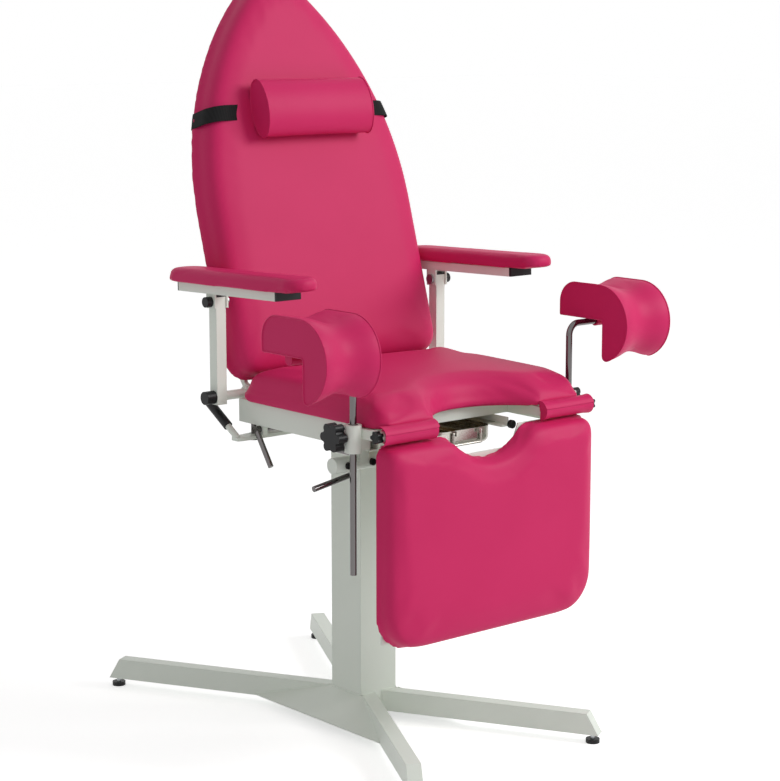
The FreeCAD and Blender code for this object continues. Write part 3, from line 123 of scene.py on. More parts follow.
def bump(finish, height, strength, depth, edge=0):
    """Normals of a fine relief, over corners that look rounded where an edge radius is given."""
    node = add(finish, "ShaderNodeBump", {"Height": height, "Strength": strength, "Distance": depth})
    if edge:
        finish.node_tree.links.new(soft_edge(finish, edge), node.inputs["Normal"])
    return node.outputs["Normal"]


def paint(finish, *names):
    """Give CAD nodes a finish."""
    for name in names:
        nodes[name].data.materials.clear()
        nodes[name].data.materials.append(finish)


def link(name, mesh):
    """A new object for a mesh whose points are already in place."""
    piece = bpy.data.objects.new(name, mesh)
    bpy.context.scene.collection.objects.link(piece)
    return piece


def settle(piece):
    """Turn a piece's modifiers into plain mesh."""
    shaped = piece.evaluated_get(bpy.context.evaluated_depsgraph_get())
    mesh = bpy.data.meshes.new_from_object(shaped)
    piece.modifiers.clear()
    piece.data = mesh


def new_tree(name, **sizes):
    """A Geometry Nodes tree that takes points or a path, with named sizes in metres and a finish."""
    tree = bpy.data.node_groups.new(name, "GeometryNodeTree")
    tree.interface.new_socket("Geometry", in_out="INPUT", socket_type="NodeSocketGeometry")
    for size, value in sizes.items():
        kind = "NodeSocketMaterial" if isinstance(value, bpy.types.Material) else "NodeSocketFloat"
        tree.interface.new_socket(size, in_out="INPUT", socket_type=kind).default_value = value
    tree.interface.new_socket("Geometry", in_out="OUTPUT", socket_type="NodeSocketGeometry")
    return tree, tree.nodes.new("NodeGroupInput").outputs


def close_tree(tree, shape, finish):
    """End a tree: instances made real, and the finish set."""
    whole = add(tree, "GeometryNodeRealizeInstances", {"Geometry": shape})
    coated = add(tree, "GeometryNodeSetMaterial", {"Geometry": whole.outputs[0], "Material": finish})
    add(tree, "NodeGroupOutput", {"Geometry": coated.outputs[0]})


def grow(name, tree, body, slot, points, edges=(), facing=None, **sizes):
    """Make a piece from a tree on points or paths, as plain mesh that rides on a body."""
    mesh = bpy.data.meshes.new(name)
    mesh.from_pydata([tuple(point) for point in points], list(edges), [])
    if facing:
        toward = mesh.attributes.new("facing", "FLOAT_VECTOR", "POINT")
        toward.data.foreach_set("vector", np.array(facing, float).ravel())
    piece = link(name, mesh)
    maker = piece.modifiers.new(tree.name, "NODES")
    maker.node_group = tree
    for item in tree.interface.items_tree:
        if item.name in sizes:
            maker[item.identifier] = sizes[item.name]
    settle(piece)
    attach(piece, body)


# Powder coat: thick baked polyester. Its orange peel is about 1.5 mm wide and the corners look rounded.
powder_coat, surface = new_finish("white_powder_coat", specular_ior_level=0.45)
cloudy = noise(powder_coat, scale=9, detail=3)
orange_peel = noise(powder_coat, scale=1 / (1.5 * MM), detail=1)
drive(powder_coat, surface, base_color=tint(powder_coat, cloudy, dark="E4EBE1", light="EEF4EB"),
      roughness=between(powder_coat, cloudy, low=0.34, high=0.46),
      normal=bump(powder_coat, orange_peel, strength=0.06, depth=0.3 * MM, edge=1.6 * MM))
paint(powder_coat, "column", "leg_front_left", "leg_front_right", "leg_rear_left", "leg_rear_right",
      "base_gussets", "column_head")

bead_run, given = new_tree("bead_run", Finish=powder_coat, Bead=WELD_BEAD, Ripple=WELD_BEAD, Step=BEAD_STEP)
path = add(bead_run, "GeometryNodeMeshToCurve", {"Mesh": given["Geometry"]})
stepped = add(bead_run, "GeometryNodeResampleCurve", {"Curve": path.outputs[0], "Length": given["Step"]},
              mode="LENGTH")
ring = add(bead_run, "GeometryNodeCurvePrimitiveCircle", {"Resolution": 8, "Radius": given["Bead"]})
bead = add(bead_run, "GeometryNodeCurveToMesh",
           {"Curve": stepped.outputs[0], "Profile Curve": ring.outputs["Curve"], "Fill Caps": True})
where = add(bead_run, "GeometryNodeInputPosition")
waves = add(bead_run, "ShaderNodeTexNoise",
            {"Vector": where.outputs[0], "Scale": 1 / RIPPLE_LENGTH, "Detail": 1})
lift = add(bead_run, "ShaderNodeVectorMath", {0: waves.outputs["Color"], 1: (0.5, 0.5, 0.5)},
           operation="SUBTRACT")
push = add(bead_run, "ShaderNodeVectorMath", {0: lift.outputs[0], "Scale": given["Ripple"]},
           operation="SCALE")
rough = add(bead_run, "GeometryNodeSetPosition", {"Geometry": bead.outputs[0], "Offset": push.outputs[0]})
close_tree(bead_run, rough.outputs[0], given["Finish"])

low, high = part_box("column")
COLUMN_Y = (low.y + high.y) / 2
HALF_COLUMN = high.x
seams, runs = [], []


def run_weld(*corners):
    """One weld along a run of corners, x and y counted from the column's axis."""
    start = len(seams)
    seams.extend((x, y + COLUMN_Y, z) for x, y, z in corners)
    runs.extend((i, i + 1) for i in range(start, len(seams) - 1))


gusset_low, gusset_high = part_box("base_gussets")
gusset_ends = (HALF_COLUMN, LEG_TOP), (gusset_high.x, gusset_low.z + GUSSET_LIP)
leg_near = HALF_COLUMN * math.tan(LEG_SPLAY) - LEG_WIDTH / 2 / math.cos(LEG_SPLAY)
leg_far = leg_near + LEG_WIDTH / math.cos(LEG_SPLAY)
for side in (1, -1):
    for end in (1, -1):
        run_weld(*[(side * x, end * HALF_COLUMN, z) for x, z in ((leg_near, LEG_LOW), (leg_near, LEG_TOP),
                                                                 (leg_far, LEG_TOP), (leg_far, LEG_LOW))])
        run_weld(*[(side * x, end * (x * math.cos(LEG_SPLAY) - LEG_WIDTH / 2) / math.sin(LEG_SPLAY), z)
                   for x, z in gusset_ends])
    run_weld((side * HALF_COLUMN, -HALF_COLUMN, LEG_TOP), (side * HALF_COLUMN, HALF_COLUMN, LEG_TOP))
grow("stand_welds", bead_run, "base_frame", "white_steel", seams, runs)

# Levelling feet: black plastic discs moulded on zinc-plated studs, screwed up into the legs' tips.
# The plastic is fine spark-eroded matte; the zinc is dull, bluish and a little cloudy.
black_plastic, surface = new_finish("moulded_black_plastic", specular_ior_level=0.3)
cloudy = noise(black_plastic, scale=40, detail=2)
spark_grain = noise(black_plastic, scale=1 / (0.9 * MM), detail=1)
drive(black_plastic, surface, base_color=tint(black_plastic, cloudy, dark="0B0B0D", light="131416"),
      roughness=between(black_plastic, cloudy, low=0.36, high=0.5),
      normal=bump(black_plastic, spark_grain, strength=0.1, depth=0.2 * MM, edge=1.5 * MM))

zinc_plate, surface = new_finish("zinc_plated_steel", metallic=1.0)
cloudy = noise(zinc_plate, scale=120, detail=3)
drive(zinc_plate, surface, base_color=tint(zinc_plate, cloudy, dark="9DA3A6", light="C4C8C8"),
      roughness=between(zinc_plate, cloudy, low=0.28, high=0.42))


def two_finishes(name, first, second, chosen):
    """Paint a CAD node in two finishes: faces that are chosen get the second."""
    paint(first, name)
    mesh = nodes[name].data
    mesh.materials.append(second)
    for face in mesh.polygons:
        face.material_index = int(chosen(face))


STUD_LOW = 9.1 * MM
for corner in ("front_left", "front_right", "rear_left", "rear_right"):
    two_finishes(f"foot_{corner}", black_plastic, zinc_plate, lambda face: face.center.z > STUD_LOW)

# Seat frame: two deep tube rails and three cross tubes, with welded lugs, brackets and the lock clamps.
# Welded mild steel with the same powder coat as the stand; the loose caps and knobs are black plastic.
paint(powder_coat, "side_rail_left", "side_rail_right", "cross_tubes", "front_cross_tube",
      "front_bracket_left", "front_bracket_right", "leg_lock_tube", "back_lock_housing", "basin_runners",
      "arm_posts")
paint(black_plastic, "end_caps", "star_knob_left", "star_knob_right", "post_knob_left", "post_knob_right",
      "holder_bush_left", "holder_bush_right")
POST_WIDTH = 25 * MM
low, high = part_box("arm_posts")
post_inner = min(-low.x, high.x) - POST_WIDTH
two_finishes("arm_pivots", black_plastic, zinc_plate, lambda face: abs(face.center.x) < post_inner)

# Pins, lock rods and lever bars: drawn steel with polished chrome plating, pushed or screwed into the frame.
# Chrome mirrors the room, with only faint hazy smears from handling. Its base colour is darkened to grey, a
# painted reflection of a darker room than the white studio.
chrome, surface = new_finish("chrome_plated_steel", metallic=1.0, base_color=linear("6F6C6C"))
smears = noise(chrome, scale=35, detail=4)
drive(chrome, surface, roughness=between(chrome, smears, low=0.08, high=0.2), normal=soft_edge(chrome, 1 * MM))
paint(chrome, "hinge_pins", "back_lock_rod", "leg_lock_rod", "back_clamp_lever", "leg_lock_lever",
      "holder_rod_left", "holder_rod_right")
paint(powder_coat, "back_release_lever")
paint(black_plastic, "release_grip")

# Seat: a plywood board on the rails, and a foam pad with a round cut-out in its front edge.
# The pad's cover is hot-pink faux leather, pulled over the foam and stapled under the board.
plywood, surface = new_finish("birch_plywood", specular_ior_level=0.3, roughness=0.62)
grain = noise(plywood, scale=2, detail=6, stretch=(60, 60, 4))
drive(plywood, surface, base_color=tint(plywood, grain, dark="A98555", light="D9BD8D"),
      normal=bump(plywood, grain, strength=0.15, depth=0.4 * MM))
paint(plywood, "back_board")

# Faux leather: PVC on knitted backing. Its pebbles are about 1.3 mm across, drawn at 2 mm so that they show.
faux_leather, surface = new_finish("pink_faux_leather", specular_ior_level=0.2)
cloudy = noise(faux_leather, scale=7, detail=3)
pebbles = add(faux_leather, "ShaderNodeTexVoronoi", {"Vector": own_place(faux_leather), "Scale": 1 / (2 * MM)},
              feature="SMOOTH_F1").outputs["Distance"]
drive(faux_leather, surface, base_color=tint(faux_leather, cloudy, dark="CC2360", light="D42A67"),
      roughness=between(faux_leather, pebbles, low=0.46, high=0.56),
      normal=bump(faux_leather, pebbles, strength=0.12, depth=0.25 * MM))
BOARD_EDGE_SLOPE = 0.5
two_finishes("seat_board", plywood, faux_leather, lambda face: abs(face.normal.z) < BOARD_EDGE_SLOPE)

PRESSURE, FRAMES = 4, 20
SEAM_ANGLE = math.radians(50)
FIRST_SMOOTHING = 6
TINY = 1e-9


def points_of(mesh):
    """A mesh's points as rows of x, y, z."""
    flat = np.empty(len(mesh.vertices) * 3)
    mesh.vertices.foreach_get("co", flat)
    return flat.reshape(-1, 3)


def move_points(mesh, points):
    """Put a mesh's points at rows of x, y, z."""
    mesh.vertices.foreach_set("co", points.ravel())


def blow_up(piece, held, swell):
    """Press a closed cover outwards as cloth; held points stay, and none moves further than the swell."""
    scene = bpy.context.scene
    start = points_of(piece.data)
    fixed = piece.vertex_groups.new(name="held")
    fixed.add([int(i) for i in np.flatnonzero(held)], 1.0, "REPLACE")
    cover = piece.modifiers.new("cover", "CLOTH")
    cover.settings.use_pressure = True
    cover.settings.uniform_pressure_force = PRESSURE
    cover.settings.effector_weights.gravity = 0
    cover.settings.vertex_group_mass = "held"
    for number in range(1, FRAMES + 1):
        scene.frame_set(number)
    shaped = piece.evaluated_get(bpy.context.evaluated_depsgraph_get())
    move = points_of(shaped.data) - start
    reach = np.linalg.norm(move, axis=1, keepdims=True)
    move *= np.minimum(1, swell / np.maximum(reach, TINY))
    piece.modifiers.clear()
    piece.vertex_groups.clear()
    move_points(piece.data, start + move)
    scene.frame_set(1)


def dress(piece, body, foam=None):
    """Finish a cushion: one subdivision, crisp seams, the pink cover, its body and the foam it covers."""
    piece.modifiers.new("smooth_cover", "SUBSURF").levels = 1
    piece.modifiers["smooth_cover"].render_levels = 1
    settle(piece)
    piece.data.shade_smooth()
    piece.data.set_sharp_from_angle(angle=SEAM_ANGLE)
    piece.data.materials.clear()
    piece.data.materials.append(faux_leather)
    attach(piece, body)
    if foam:
        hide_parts(foam)


def ease(piece, passes, held):
    """Smooth a piece's surface, apart from the points that are held, and settle it."""
    smooth = piece.modifiers.new("ease", "SMOOTH")
    free = piece.vertex_groups.new(name="free")
    free.add([int(i) for i in np.flatnonzero(~held)], 1.0, "REPLACE")
    smooth.vertex_group = "free"
    smooth.factor = 0.5
    smooth.iterations = passes
    settle(piece)
    piece.vertex_groups.clear()


def fit(points, low, high, held, across):
    """Points stretched to fill a box; along the axes across, the points that aren't held fill it."""
    start, end = points.min(axis=0), points.max(axis=0)
    for axis in across:
        start[axis], end[axis] = points[~held, axis].min(), points[~held, axis].max()
    return np.clip(low + (points - start) * (high - low) / (end - start), low, high)


def block_of(name):
    """A CAD node's mesh to work on, with its doubled points joined; the node itself stays as it is."""
    block = bmesh.new()
    block.from_mesh(nodes[name].data)
    bmesh.ops.remove_doubles(block, verts=block.verts, dist=0.01 * MM)
    return block


def upholster(name, foam, body, voxel, rounding, held, across, crown=(0, 0, 0), swell=4 * MM, taut=8):
    """Cover a foam block: skin it, round its edges, pull it in a little, blow it up and draw it taut."""
    mesh = bpy.data.meshes.new(name)
    block = block_of(foam)
    block.to_mesh(mesh)
    block.free()
    piece = link(name, mesh)
    piece.modifiers.new("skin", "REMESH").voxel_size = voxel
    settle(piece)
    fixed = held(points_of(piece.data))
    ease(piece, FIRST_SMOOTHING, np.zeros(len(fixed), bool))
    ease(piece, rounding, fixed)
    low, high = (np.array(corner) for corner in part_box(foam))
    points = fit(points_of(piece.data), low, high, fixed, across)
    share = (points - (low + high) / 2) / ((high - low) / 2)
    crown = np.array(crown)
    rise = np.where(crown == 0, 1 - share ** 2, np.clip(share * np.sign(crown), 0, 1))
    points += np.prod(rise, axis=1)[:, None] * crown
    normals = np.empty(len(points) * 3)
    piece.data.vertices.foreach_get("normal", normals)
    move_points(piece.data, points - normals.reshape(-1, 3) * np.where(fixed, 0, swell)[:, None])
    blow_up(piece, fixed, swell)
    ease(piece, taut, fixed)
    low, high = low + np.minimum(crown, 0), high + np.maximum(crown, 0)
    move_points(piece.data, fit(points_of(piece.data), low, high, fixed, across))
    dress(piece, body, foam)


SEAT_STAPLED = 14 * MM
seat_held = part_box("seat_board")[0].z + SEAT_STAPLED
upholster("seat_cushion", "seat_pad", "base_frame", voxel=6 * MM, rounding=70,
          held=lambda points: points[:, 2] < seat_held, across=(0, 1), crown=(0, 0, 7 * MM))

# Backrest: a tube frame on the hinge tube, a plywood board, and a tall foam pad with a pointed-arch outline.
# The board is screwed to the frame; the cover goes round the foam and is stapled on the board's back.
RECLINE = math.radians(16)
HINGE_RADIUS = 10 * MM
BACK_STAPLED = 5 * MM
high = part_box("cross_tubes")[1]
HINGE = Vector((0, high.y - HINGE_RADIUS, high.z - HINGE_RADIUS))
REARWARD = Vector((0, math.cos(RECLINE), -math.sin(RECLINE)))
ALONG_BACK = Vector((0, math.sin(RECLINE), math.cos(RECLINE)))


def behind_hinge(points):
    """How far points lie behind the hinge, square to the backrest's front."""
    return (points - np.array(HINGE)) @ np.array(REARWARD)


paint(powder_coat, "back_frame")
upholster("back_cushion", "back_pad", "backrest", voxel=7 * MM, rounding=20,
          held=lambda points: behind_hinge(points) > -BACK_STAPLED, across=(0,))

WASHER_THICK = 3 * MM
screw_heads, given = new_tree("screw_heads", Finish=zinc_plate, Head=5 * MM, Washer=8 * MM, Depth=7 * MM)
toward = add(screw_heads, "GeometryNodeInputNamedAttribute", {"Name": "facing"}, data_type="FLOAT_VECTOR")
turned = add(screw_heads, "FunctionNodeAlignRotationToVector", {"Vector": toward.outputs["Attribute"]},
             axis="Z")
flat_ring = add(screw_heads, "GeometryNodeMeshCylinder",
                {"Vertices": 20, "Radius": given["Washer"], "Depth": WASHER_THICK})
six_sided = add(screw_heads, "GeometryNodeMeshCylinder",
                {"Vertices": 6, "Radius": given["Head"], "Depth": given["Depth"]})
screw = add(screw_heads, "GeometryNodeJoinGeometry", {"Geometry": flat_ring.outputs["Mesh"]})
screw_heads.links.new(six_sided.outputs["Mesh"], screw.inputs["Geometry"])
placed = add(screw_heads, "GeometryNodeInstanceOnPoints",
             {"Points": given["Geometry"], "Instance": screw.outputs[0],
              "Rotation": turned.outputs["Rotation"]})
close_tree(screw_heads, placed.outputs[0], given["Finish"])

SCREW_X, SCREW_BACK = 205 * MM, 29 * MM
SCREW_HEIGHTS = 100 * MM, 205 * MM, 310 * MM, 415 * MM
spots = [HINGE + REARWARD * SCREW_BACK + ALONG_BACK * height + Vector((side * SCREW_X, 0, 0))
         for side in (-1, 1) for height in SCREW_HEIGHTS]
grow("back_screws", screw_heads, "backrest", "chrome", spots, facing=[REARWARD] * len(spots))


def walk(rim):
    """The longest loop in a list of edges, as rows of points in order."""
    left = dict.fromkeys(rim)
    loops = []
    while left:
        first = next(iter(left))
        del left[first]
        loop = [first.verts[0], first.verts[1]]
        onward = [edge for edge in loop[-1].link_edges if edge in left]
        while onward:
            del left[onward[0]]
            loop.append(onward[0].other_vert(loop[-1]))
            onward = [edge for edge in loop[-1].link_edges if edge in left]
        loops.append(np.array([vert.co for vert in loop[:-1]]))
    return max(loops, key=len)


def face_outline(name, direction):
    """The outline of a CAD node's flat face that looks in a direction, in order."""
    block = block_of(name)
    far = max(vert.co.dot(direction) for vert in block.verts)
    flat = {face for face in block.faces if face.calc_center_median().dot(direction) > far - 0.1 * MM}
    outline = walk([edge for edge in block.edges if len(flat.intersection(edge.link_faces)) == 1])
    block.free()
    return outline


def even(outline, step):
    """A closed outline with its points spaced evenly, about a step apart."""
    closed = np.vstack([outline, outline[:1]])
    along = np.concatenate([[0], np.cumsum(np.linalg.norm(np.diff(closed, axis=0), axis=1))])
    stops = np.linspace(0, along[-1], int(along[-1] / step), endpoint=False)
    return np.column_stack([np.interp(stops, along, closed[:, axis]) for axis in range(closed.shape[1])])


def inset(outline, direction, margin):
    """A flat outline moved inwards by a margin in its own plane."""
    tangent = np.roll(outline, -1, axis=0) - np.roll(outline, 1, axis=0)
    inward = np.cross(np.array(direction), tangent)
    inward /= np.linalg.norm(inward, axis=1, keepdims=True)
    if np.sum(inward * (outline.mean(axis=0) - outline)) < 0:
        inward = -inward
    return outline + inward * margin


def ring_edges(around, start=0):
    """Edges that join one ring of points."""
    return [(start + i, start + (i + 1) % around) for i in range(around)]


def bands(rows, around, closed=False):
    """Faces between neighbouring rings of points; closed also joins the last ring to the first."""
    pairs = [(row, (row + 1) % rows) for row in range(rows if closed else rows - 1)]
    return [(one * around + i, one * around + (i + 1) % around,
             two * around + (i + 1) % around, two * around + i) for one, two in pairs for i in range(around)]


staple_row, given = new_tree("staple_row", Finish=zinc_plate, Spacing=28 * MM, Crown=10 * MM, Wire=1.2 * MM)
path = add(staple_row, "GeometryNodeMeshToCurve", {"Mesh": given["Geometry"]})
stops = add(staple_row, "GeometryNodeResampleCurve", {"Curve": path.outputs[0], "Length": given["Spacing"]},
            mode="LENGTH")
wire = add(staple_row, "ShaderNodeCombineXYZ", {"X": given["Crown"], "Y": given["Wire"], "Z": given["Wire"]})
staple = add(staple_row, "GeometryNodeMeshCube", {"Size": wire.outputs[0]})
tangent = add(staple_row, "GeometryNodeInputTangent")
turned = add(staple_row, "FunctionNodeAlignRotationToVector", {"Vector": tangent.outputs[0]}, axis="X")
placed = add(staple_row, "GeometryNodeInstanceOnPoints",
             {"Points": stops.outputs[0], "Instance": staple.outputs["Mesh"],
              "Rotation": turned.outputs["Rotation"]})
close_tree(staple_row, placed.outputs[0], given["Finish"])

HEM_STEP, HEM_OUTER, HEM_INNER, HEM_LOW, HEM_HIGH = 8 * MM, 2 * MM, 26 * MM, 0.1 * MM, 1.2 * MM
STAPLES_IN, STAPLES_UP = 17 * MM, 1.3 * MM


def hem(name, board, direction, body):
    """Fold a cover's edge over a board's back: a flat band of leather along its outline, stapled."""
    outline = even(face_outline(board, direction), HEM_STEP)
    corners = (HEM_OUTER, HEM_LOW), (HEM_OUTER, HEM_HIGH), (HEM_INNER, HEM_HIGH), (HEM_INNER, HEM_LOW)
    rings = [inset(outline, direction, margin) + np.array(direction) * rise for margin, rise in corners]
    mesh = bpy.data.meshes.new(name)
    mesh.from_pydata(np.vstack(rings).tolist(), [], bands(len(rings), len(outline), closed=True))
    band = bmesh.new()
    band.from_mesh(mesh)
    bmesh.ops.recalc_face_normals(band, faces=band.faces)
    band.to_mesh(mesh)
    band.free()
    mesh.materials.append(faux_leather)
    piece = link(name, mesh)
    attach(piece, body)
    line = inset(outline, direction, STAPLES_IN) + np.array(direction) * STAPLES_UP
    grow(name + "_staples", staple_row, body, "chrome", line, ring_edges(len(outline)))


hem("back_cover_hem", "back_board", REARWARD, "backrest")

# Head pillow: a bolster with flat sewn ends, on a loop of black webbing that goes round the backrest.
# The webbing is woven polypropylene; its ribs are about 1.5 mm apart, drawn at 6 mm so that they show.
PIPING_BEAD = 1.6 * MM
OFF_CENTRE = 0.1 * MM


def section(name, x):
    """A CAD node's outline where it is cut at one x, as rows of y and z."""
    block = block_of(name)
    whole = block.verts[:] + block.edges[:] + block.faces[:]
    cut = bmesh.ops.bisect_plane(block, geom=whole, plane_co=(x, 0, 0), plane_no=(1, 0, 0))["geom_cut"]
    outline = walk([edge for edge in cut if isinstance(edge, bmesh.types.BMEdge)])
    block.free()
    return outline[:, 1:]


def skin_rows(name, rows):
    """A closed skin over rings of points, with flat ends."""
    around = len(rows[0])
    mesh = bpy.data.meshes.new(name)
    mesh.from_pydata(np.vstack(rows).tolist(), [], bands(len(rows), around))
    skin = bmesh.new()
    skin.from_mesh(mesh)
    skin.verts.ensure_lookup_table()
    creases = skin.edges.layers.float.new("crease_edge")
    for start in (0, (len(rows) - 1) * around):
        ends = set(skin.verts[start:start + around])
        rim = [edge for edge in skin.edges if edge.is_boundary and ends.issuperset(edge.verts)]
        for edge in rim:
            edge[creases] = 1.0
        bmesh.ops.triangle_fill(skin, edges=rim, use_beauty=True)
    bmesh.ops.recalc_face_normals(skin, faces=skin.faces)
    skin.to_mesh(mesh)
    skin.free()
    return mesh


def sew_bolster(name, foam, body, step, swell, shape=None, trim=0):
    """Sew a bolster: one outline along x with flat piped ends, blown up as cloth between them."""
    low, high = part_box(foam)
    low.x += trim
    high.x -= trim
    outline = even(section(foam, (low.x + high.x) / 2 + OFF_CENTRE), step)
    around = len(outline)
    rows = []
    for share in np.linspace(0, 1, round((high.x - low.x) / step) + 1):
        drawn = shape(outline, share) if shape else outline
        rows.append(np.column_stack([np.full(around, low.x + share * (high.x - low.x)), drawn]))
    piece = link(name, skin_rows(name, rows))
    held = np.zeros(len(piece.data.vertices), bool)
    held[:around] = held[-around:] = True
    blow_up(piece, held, swell)
    dress(piece, body, foam)
    grow(name + "_piping", bead_run, body, "pink_leather", np.vstack([rows[0], rows[-1]]),
         ring_edges(around) + ring_edges(around, around), Bead=PIPING_BEAD, Ripple=0.0, Finish=faux_leather)


sew_bolster("head_pillow", "pillow", "headrest", step=6 * MM, swell=3 * MM, trim=11 * MM)
RIB_SPACING = 5.92 * MM
WAVE_LENGTH = math.tau / 20
webbing, surface = new_finish("black_webbing", specular_ior_level=0.25, roughness=0.8)
ribs = add(webbing, "ShaderNodeTexWave",
           {"Vector": own_place(webbing), "Scale": WAVE_LENGTH / RIB_SPACING, "Distortion": 0.4},
           bands_direction="X").outputs["Fac"]
drive(webbing, surface, base_color=tint(webbing, ribs, dark="050506", light="101011"),
      normal=bump(webbing, ribs, strength=0.4, depth=0.4 * MM))
paint(webbing, "pillow_strap")

# Armrests: a flat tube with a fork that folds up on the post, black end caps, and a slim padded top.
# Powder-coated steel; the pad is foam on a strip of board, with the same pink cover.
ARM_STAPLED = 12 * MM
for side in ("left", "right"):
    paint(powder_coat, f"arm_rail_{side}")
    paint(black_plastic, f"arm_caps_{side}")
    arm_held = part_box(f"arm_pad_{side}")[0].z + ARM_STAPLED
    upholster(f"arm_cushion_{side}", f"arm_pad_{side}", f"armrest_{side}", voxel=5 * MM, rounding=4,
              held=lambda points: points[:, 2] < arm_held, across=(0, 1), swell=2 * MM, taut=3)

# Legrest: a steel back sheet on two hinge tubes, a foam pad with a scooped top, and a roll pad on each tube.
# The sheet is powder coated. The rolls are covered sleeves; a wrap flared at its ends hides the hinge lugs, its
# lower part sewn to the rolls and its upper part fixed to the seat frame.
paint(powder_coat, "leg_frame")
LEG_STAPLED = 3 * MM
leg_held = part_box("leg_pad")[1].y - LEG_STAPLED
upholster("leg_cushion", "leg_pad", "legrest", voxel=6 * MM, rounding=40,
          held=lambda points: points[:, 1] > leg_held, across=(0, 2))

ROLL_INNER, ROLL_END, ROLL_ROWS, ROLL_AROUND = 165 * MM, 6 * MM, 33, 48
WRAP_INNER, WRAP_OUTER, WRAP_WALL, WRAP_ROWS, WRAP_AROUND = 151 * MM, 288 * MM, 1 * MM, 35, 19
WRAP_FLARE, FLARE_LENGTH, END_WALL_HOLE = 1.5 * MM, 12 * MM, 1 * MM
LOWER_TURNS, LOWER_GAP = (-1.65, 0.3), 0.2 * MM
UPPER_TURNS, UPPER_GAP = (0.26, 1.75), 1.8 * MM
low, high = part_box("leg_rolls")
roll_middle = (low + high) / 2
roll_radius = (high.z - low.z) / 2
roll_outer = high.x


def ring_row(x, turns, radius):
    """A row of points about the rolls' axis; a turn of zero looks to the front."""
    return np.column_stack([np.full(len(turns), x), roll_middle.y - radius * np.cos(turns),
                            roll_middle.z + radius * np.sin(turns)])


def roll(side):
    """One roll: a sleeve with rounded ends."""
    length = roll_outer - ROLL_INNER
    around = np.linspace(0, math.tau, ROLL_AROUND, endpoint=False)
    rows = []
    for share in np.linspace(0, 1, ROLL_ROWS):
        inside = min(share, 1 - share) * length
        rounding = ROLL_END - math.sqrt(max(ROLL_END ** 2 - max(ROLL_END - inside, 0) ** 2, 0))
        rows.append(ring_row(side * (roll_outer - length * share), around, roll_radius - rounding))
    return skin_rows("roll", rows)


def wrap(side, turns, gap):
    """A wrap of leather over one roll and the lugs beside it, flared at its ends, closed at the inner one."""
    arc = np.linspace(*turns, WRAP_AROUND)
    around = np.concatenate([arc, arc[::-1]])
    outside = np.repeat([True, False], len(arc))
    radius = roll_radius + gap + np.where(outside, WRAP_WALL, 0)
    rows = []
    for x in np.linspace(WRAP_OUTER, WRAP_INNER, WRAP_ROWS):
        ends = np.array([WRAP_OUTER - x, x - WRAP_INNER])
        flare = WRAP_FLARE * np.sum(np.exp(-(ends / FLARE_LENGTH) ** 2))
        rows.append(ring_row(side * x, around, radius + flare))
    end_wall = np.where(outside, radius + WRAP_FLARE, END_WALL_HOLE)
    rows.extend(ring_row(side * (WRAP_INNER - gap - step), around, end_wall) for step in (0, WRAP_WALL))
    return skin_rows("wrap", rows)


rolls, covers = bmesh.new(), bmesh.new()
for side in (-1, 1):
    rolls.from_mesh(roll(side))
    rolls.from_mesh(wrap(side, LOWER_TURNS, LOWER_GAP))
    covers.from_mesh(wrap(side, UPPER_TURNS, UPPER_GAP))
for name, shape, body, foam in (("leg_roll_pads", rolls, "legrest", "leg_rolls"),
                                ("hinge_covers", covers, "base_frame", None)):
    mesh = bpy.data.meshes.new(name)
    shape.to_mesh(mesh)
    shape.free()
    dress(link(name, mesh), body, foam)

# Leg holders: bent chrome rods that slide in plastic bushes, with a covered saddle tube under each crutch pad.
# The pads are foam with flat sewn ends, waisted in the middle where the calf lies.
WAIST, WAIST_START, WAIST_SPAN = 14 * MM, 25 * MM, 35 * MM
KNEE_IN = 70 * MM


def draw_in(outline, share, knee):
    """Pull the outer curve in, most at mid length, towards the line where the pad's two arms meet."""
    away = outline - knee
    reach = np.linalg.norm(away, axis=1, keepdims=True)
    outer = np.clip((reach - WAIST_START) / WAIST_SPAN, 0, 1)
    return outline - away / np.maximum(reach, TINY) * outer * WAIST * math.sin(math.pi * share) ** 2


for side in ("left", "right"):
    paint(faux_leather, f"crutch_saddle_{side}")
    knee = np.array([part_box(f"crutch_{side}")[0].y + KNEE_IN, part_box(f"crutch_saddle_{side}")[1].z])
    sew_bolster(f"crutch_cushion_{side}", f"crutch_{side}", f"crutch_{side}", step=5 * MM, swell=3 * MM,
                shape=lambda outline, share: draw_in(outline, share, knee))

# Basin: a pressed stainless tray on the runners, with a wire bail in front.
# Satin stainless steel, brushed lengthwise and a little warm from the pink around it.
stainless, surface = new_finish("satin_stainless_steel", metallic=1.0)
brushed = noise(stainless, scale=1, detail=2, stretch=(900, 20, 900))
drive(stainless, surface, base_color=tint(stainless, brushed, dark="A9A69F", light="C3C0B8"),
      roughness=between(stainless, brushed, low=0.18, high=0.34))
paint(stainless, "basin", "basin_handle")

# Studio: a pale floor that reads as white, a broad key light from the right, and soft light all round.
# The floor and the room look brighter to the camera than the light that they give the chair.
FLOOR_REACH = 40
FLOOR_GLOW, ROOM_LIGHT = 0.56, 0.46
WHITE = 1, 1, 1, 1
LIGHT_AIM = Vector((0, 0, 0.8))
floor_mesh = bpy.data.meshes.new("floor")
floor_mesh.from_pydata([(x * FLOOR_REACH, y * FLOOR_REACH, 0) for x, y in ((-1, -1), (1, -1), (1, 1), (-1, 1))],
                       [], [(0, 1, 2, 3)])
floor = link("floor", floor_mesh)


def seen_directly(owner):
    """One where a ray comes from the camera, a mirror or a glass, and zero where it brings light."""
    path = add(owner, "ShaderNodeLightPath")
    seen = add(owner, "ShaderNodeMath", {0: path.outputs["Is Camera Ray"], 1: path.outputs["Is Glossy Ray"]},
               operation="ADD")
    return add(owner, "ShaderNodeMath", {0: seen.outputs[0], 1: path.outputs["Is Transmission Ray"]},
               operation="ADD", use_clamp=True).outputs[0]


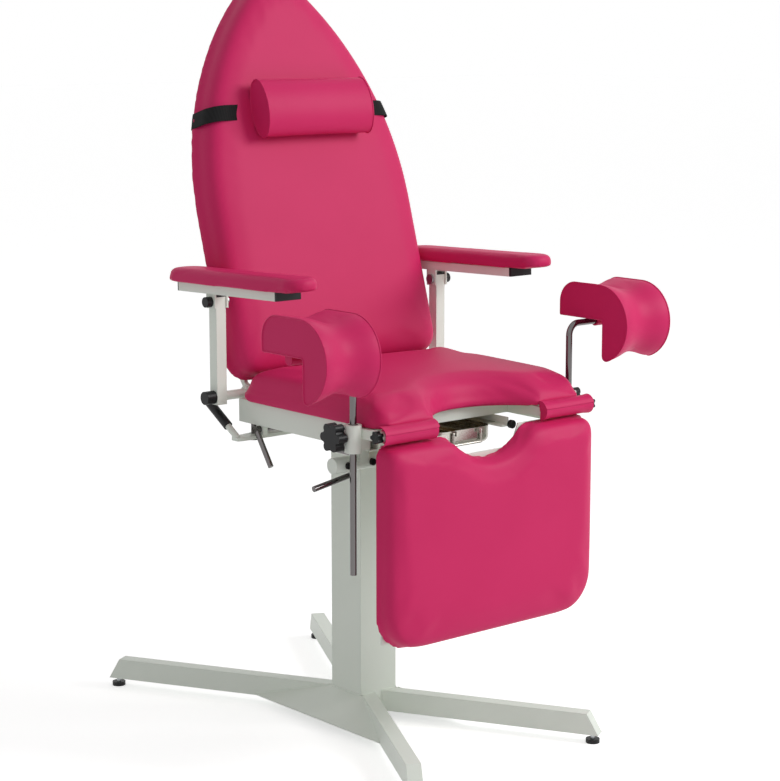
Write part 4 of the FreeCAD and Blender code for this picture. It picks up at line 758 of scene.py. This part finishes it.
pale_floor, surface = new_finish("pale_floor", base_color=(0.9, 0.9, 0.9, 1), roughness=0.9,
                                 specular_ior_level=0.1, emission_color=WHITE)
glow = add(pale_floor, "ShaderNodeMath", {0: seen_directly(pale_floor), 1: FLOOR_GLOW}, operation="MULTIPLY")
drive(pale_floor, surface, emission_strength=glow.outputs[0])
floor_mesh.materials.append(pale_floor)

world = bpy.data.worlds.new("studio")
bpy.context.scene.world = world
world.use_nodes = True
sky = world.node_tree.nodes["Background"]
sky.inputs["Color"].default_value = WHITE
drive(world, sky, strength=between(world, seen_directly(world), low=ROOM_LIGHT, high=1.0))


def lamp(name, place, power, width):
    """A square soft box that looks at the chair."""
    light = bpy.data.lights.new(name, "AREA")
    light.energy = power
    light.size = width
    box = bpy.data.objects.new(name, light)
    bpy.context.scene.collection.objects.link(box)
    box.location = place
    box.rotation_euler = (LIGHT_AIM - Vector(place)).to_track_quat("-Z", "Y").to_euler()


lamp("key_light", place=(2.5, -3.3, 3.2), power=114, width=2.2)
lamp("fill_light", place=(-3.2, -2.2, 2.6), power=3, width=2.5)

# Camera: at the left front of the chair, about 1.5 m above the floor, as the photograph was taken.
# It is shifted in its own plane, so that the chair stands in the frame as it does in the photograph.
AZIMUTH, ELEVATION = math.radians(-40.51), math.radians(9.87)
AIM_HIGH, DISTANCE, SHIFT_RIGHT, SHIFT_UP = 0.585, 4.65341, 0.0581, 0.14491
FRAME_PIXELS, FOCAL_PIXELS, SENSOR = 781, 2133.53, 36
backward = Vector((math.sin(AZIMUTH) * math.cos(ELEVATION), -math.cos(AZIMUTH) * math.cos(ELEVATION),
                   math.sin(ELEVATION)))
rightward = Vector((math.cos(AZIMUTH), math.sin(AZIMUTH), 0))
upward = backward.cross(rightward)
eye = Vector((0, COLUMN_Y, AIM_HIGH)) + backward * DISTANCE + rightward * SHIFT_RIGHT + upward * SHIFT_UP
camera = bpy.data.objects.new("camera", bpy.data.cameras.new("camera"))
bpy.context.scene.collection.objects.link(camera)
camera.matrix_world = Matrix.Translation(eye) @ Matrix((rightward, upward, backward)).transposed().to_4x4()
camera.data.sensor_width = SENSOR
camera.data.lens = FOCAL_PIXELS * SENSOR / FRAME_PIXELS
bpy.context.scene.camera = camera
bpy.context.scene.view_settings.view_transform = "Standard"
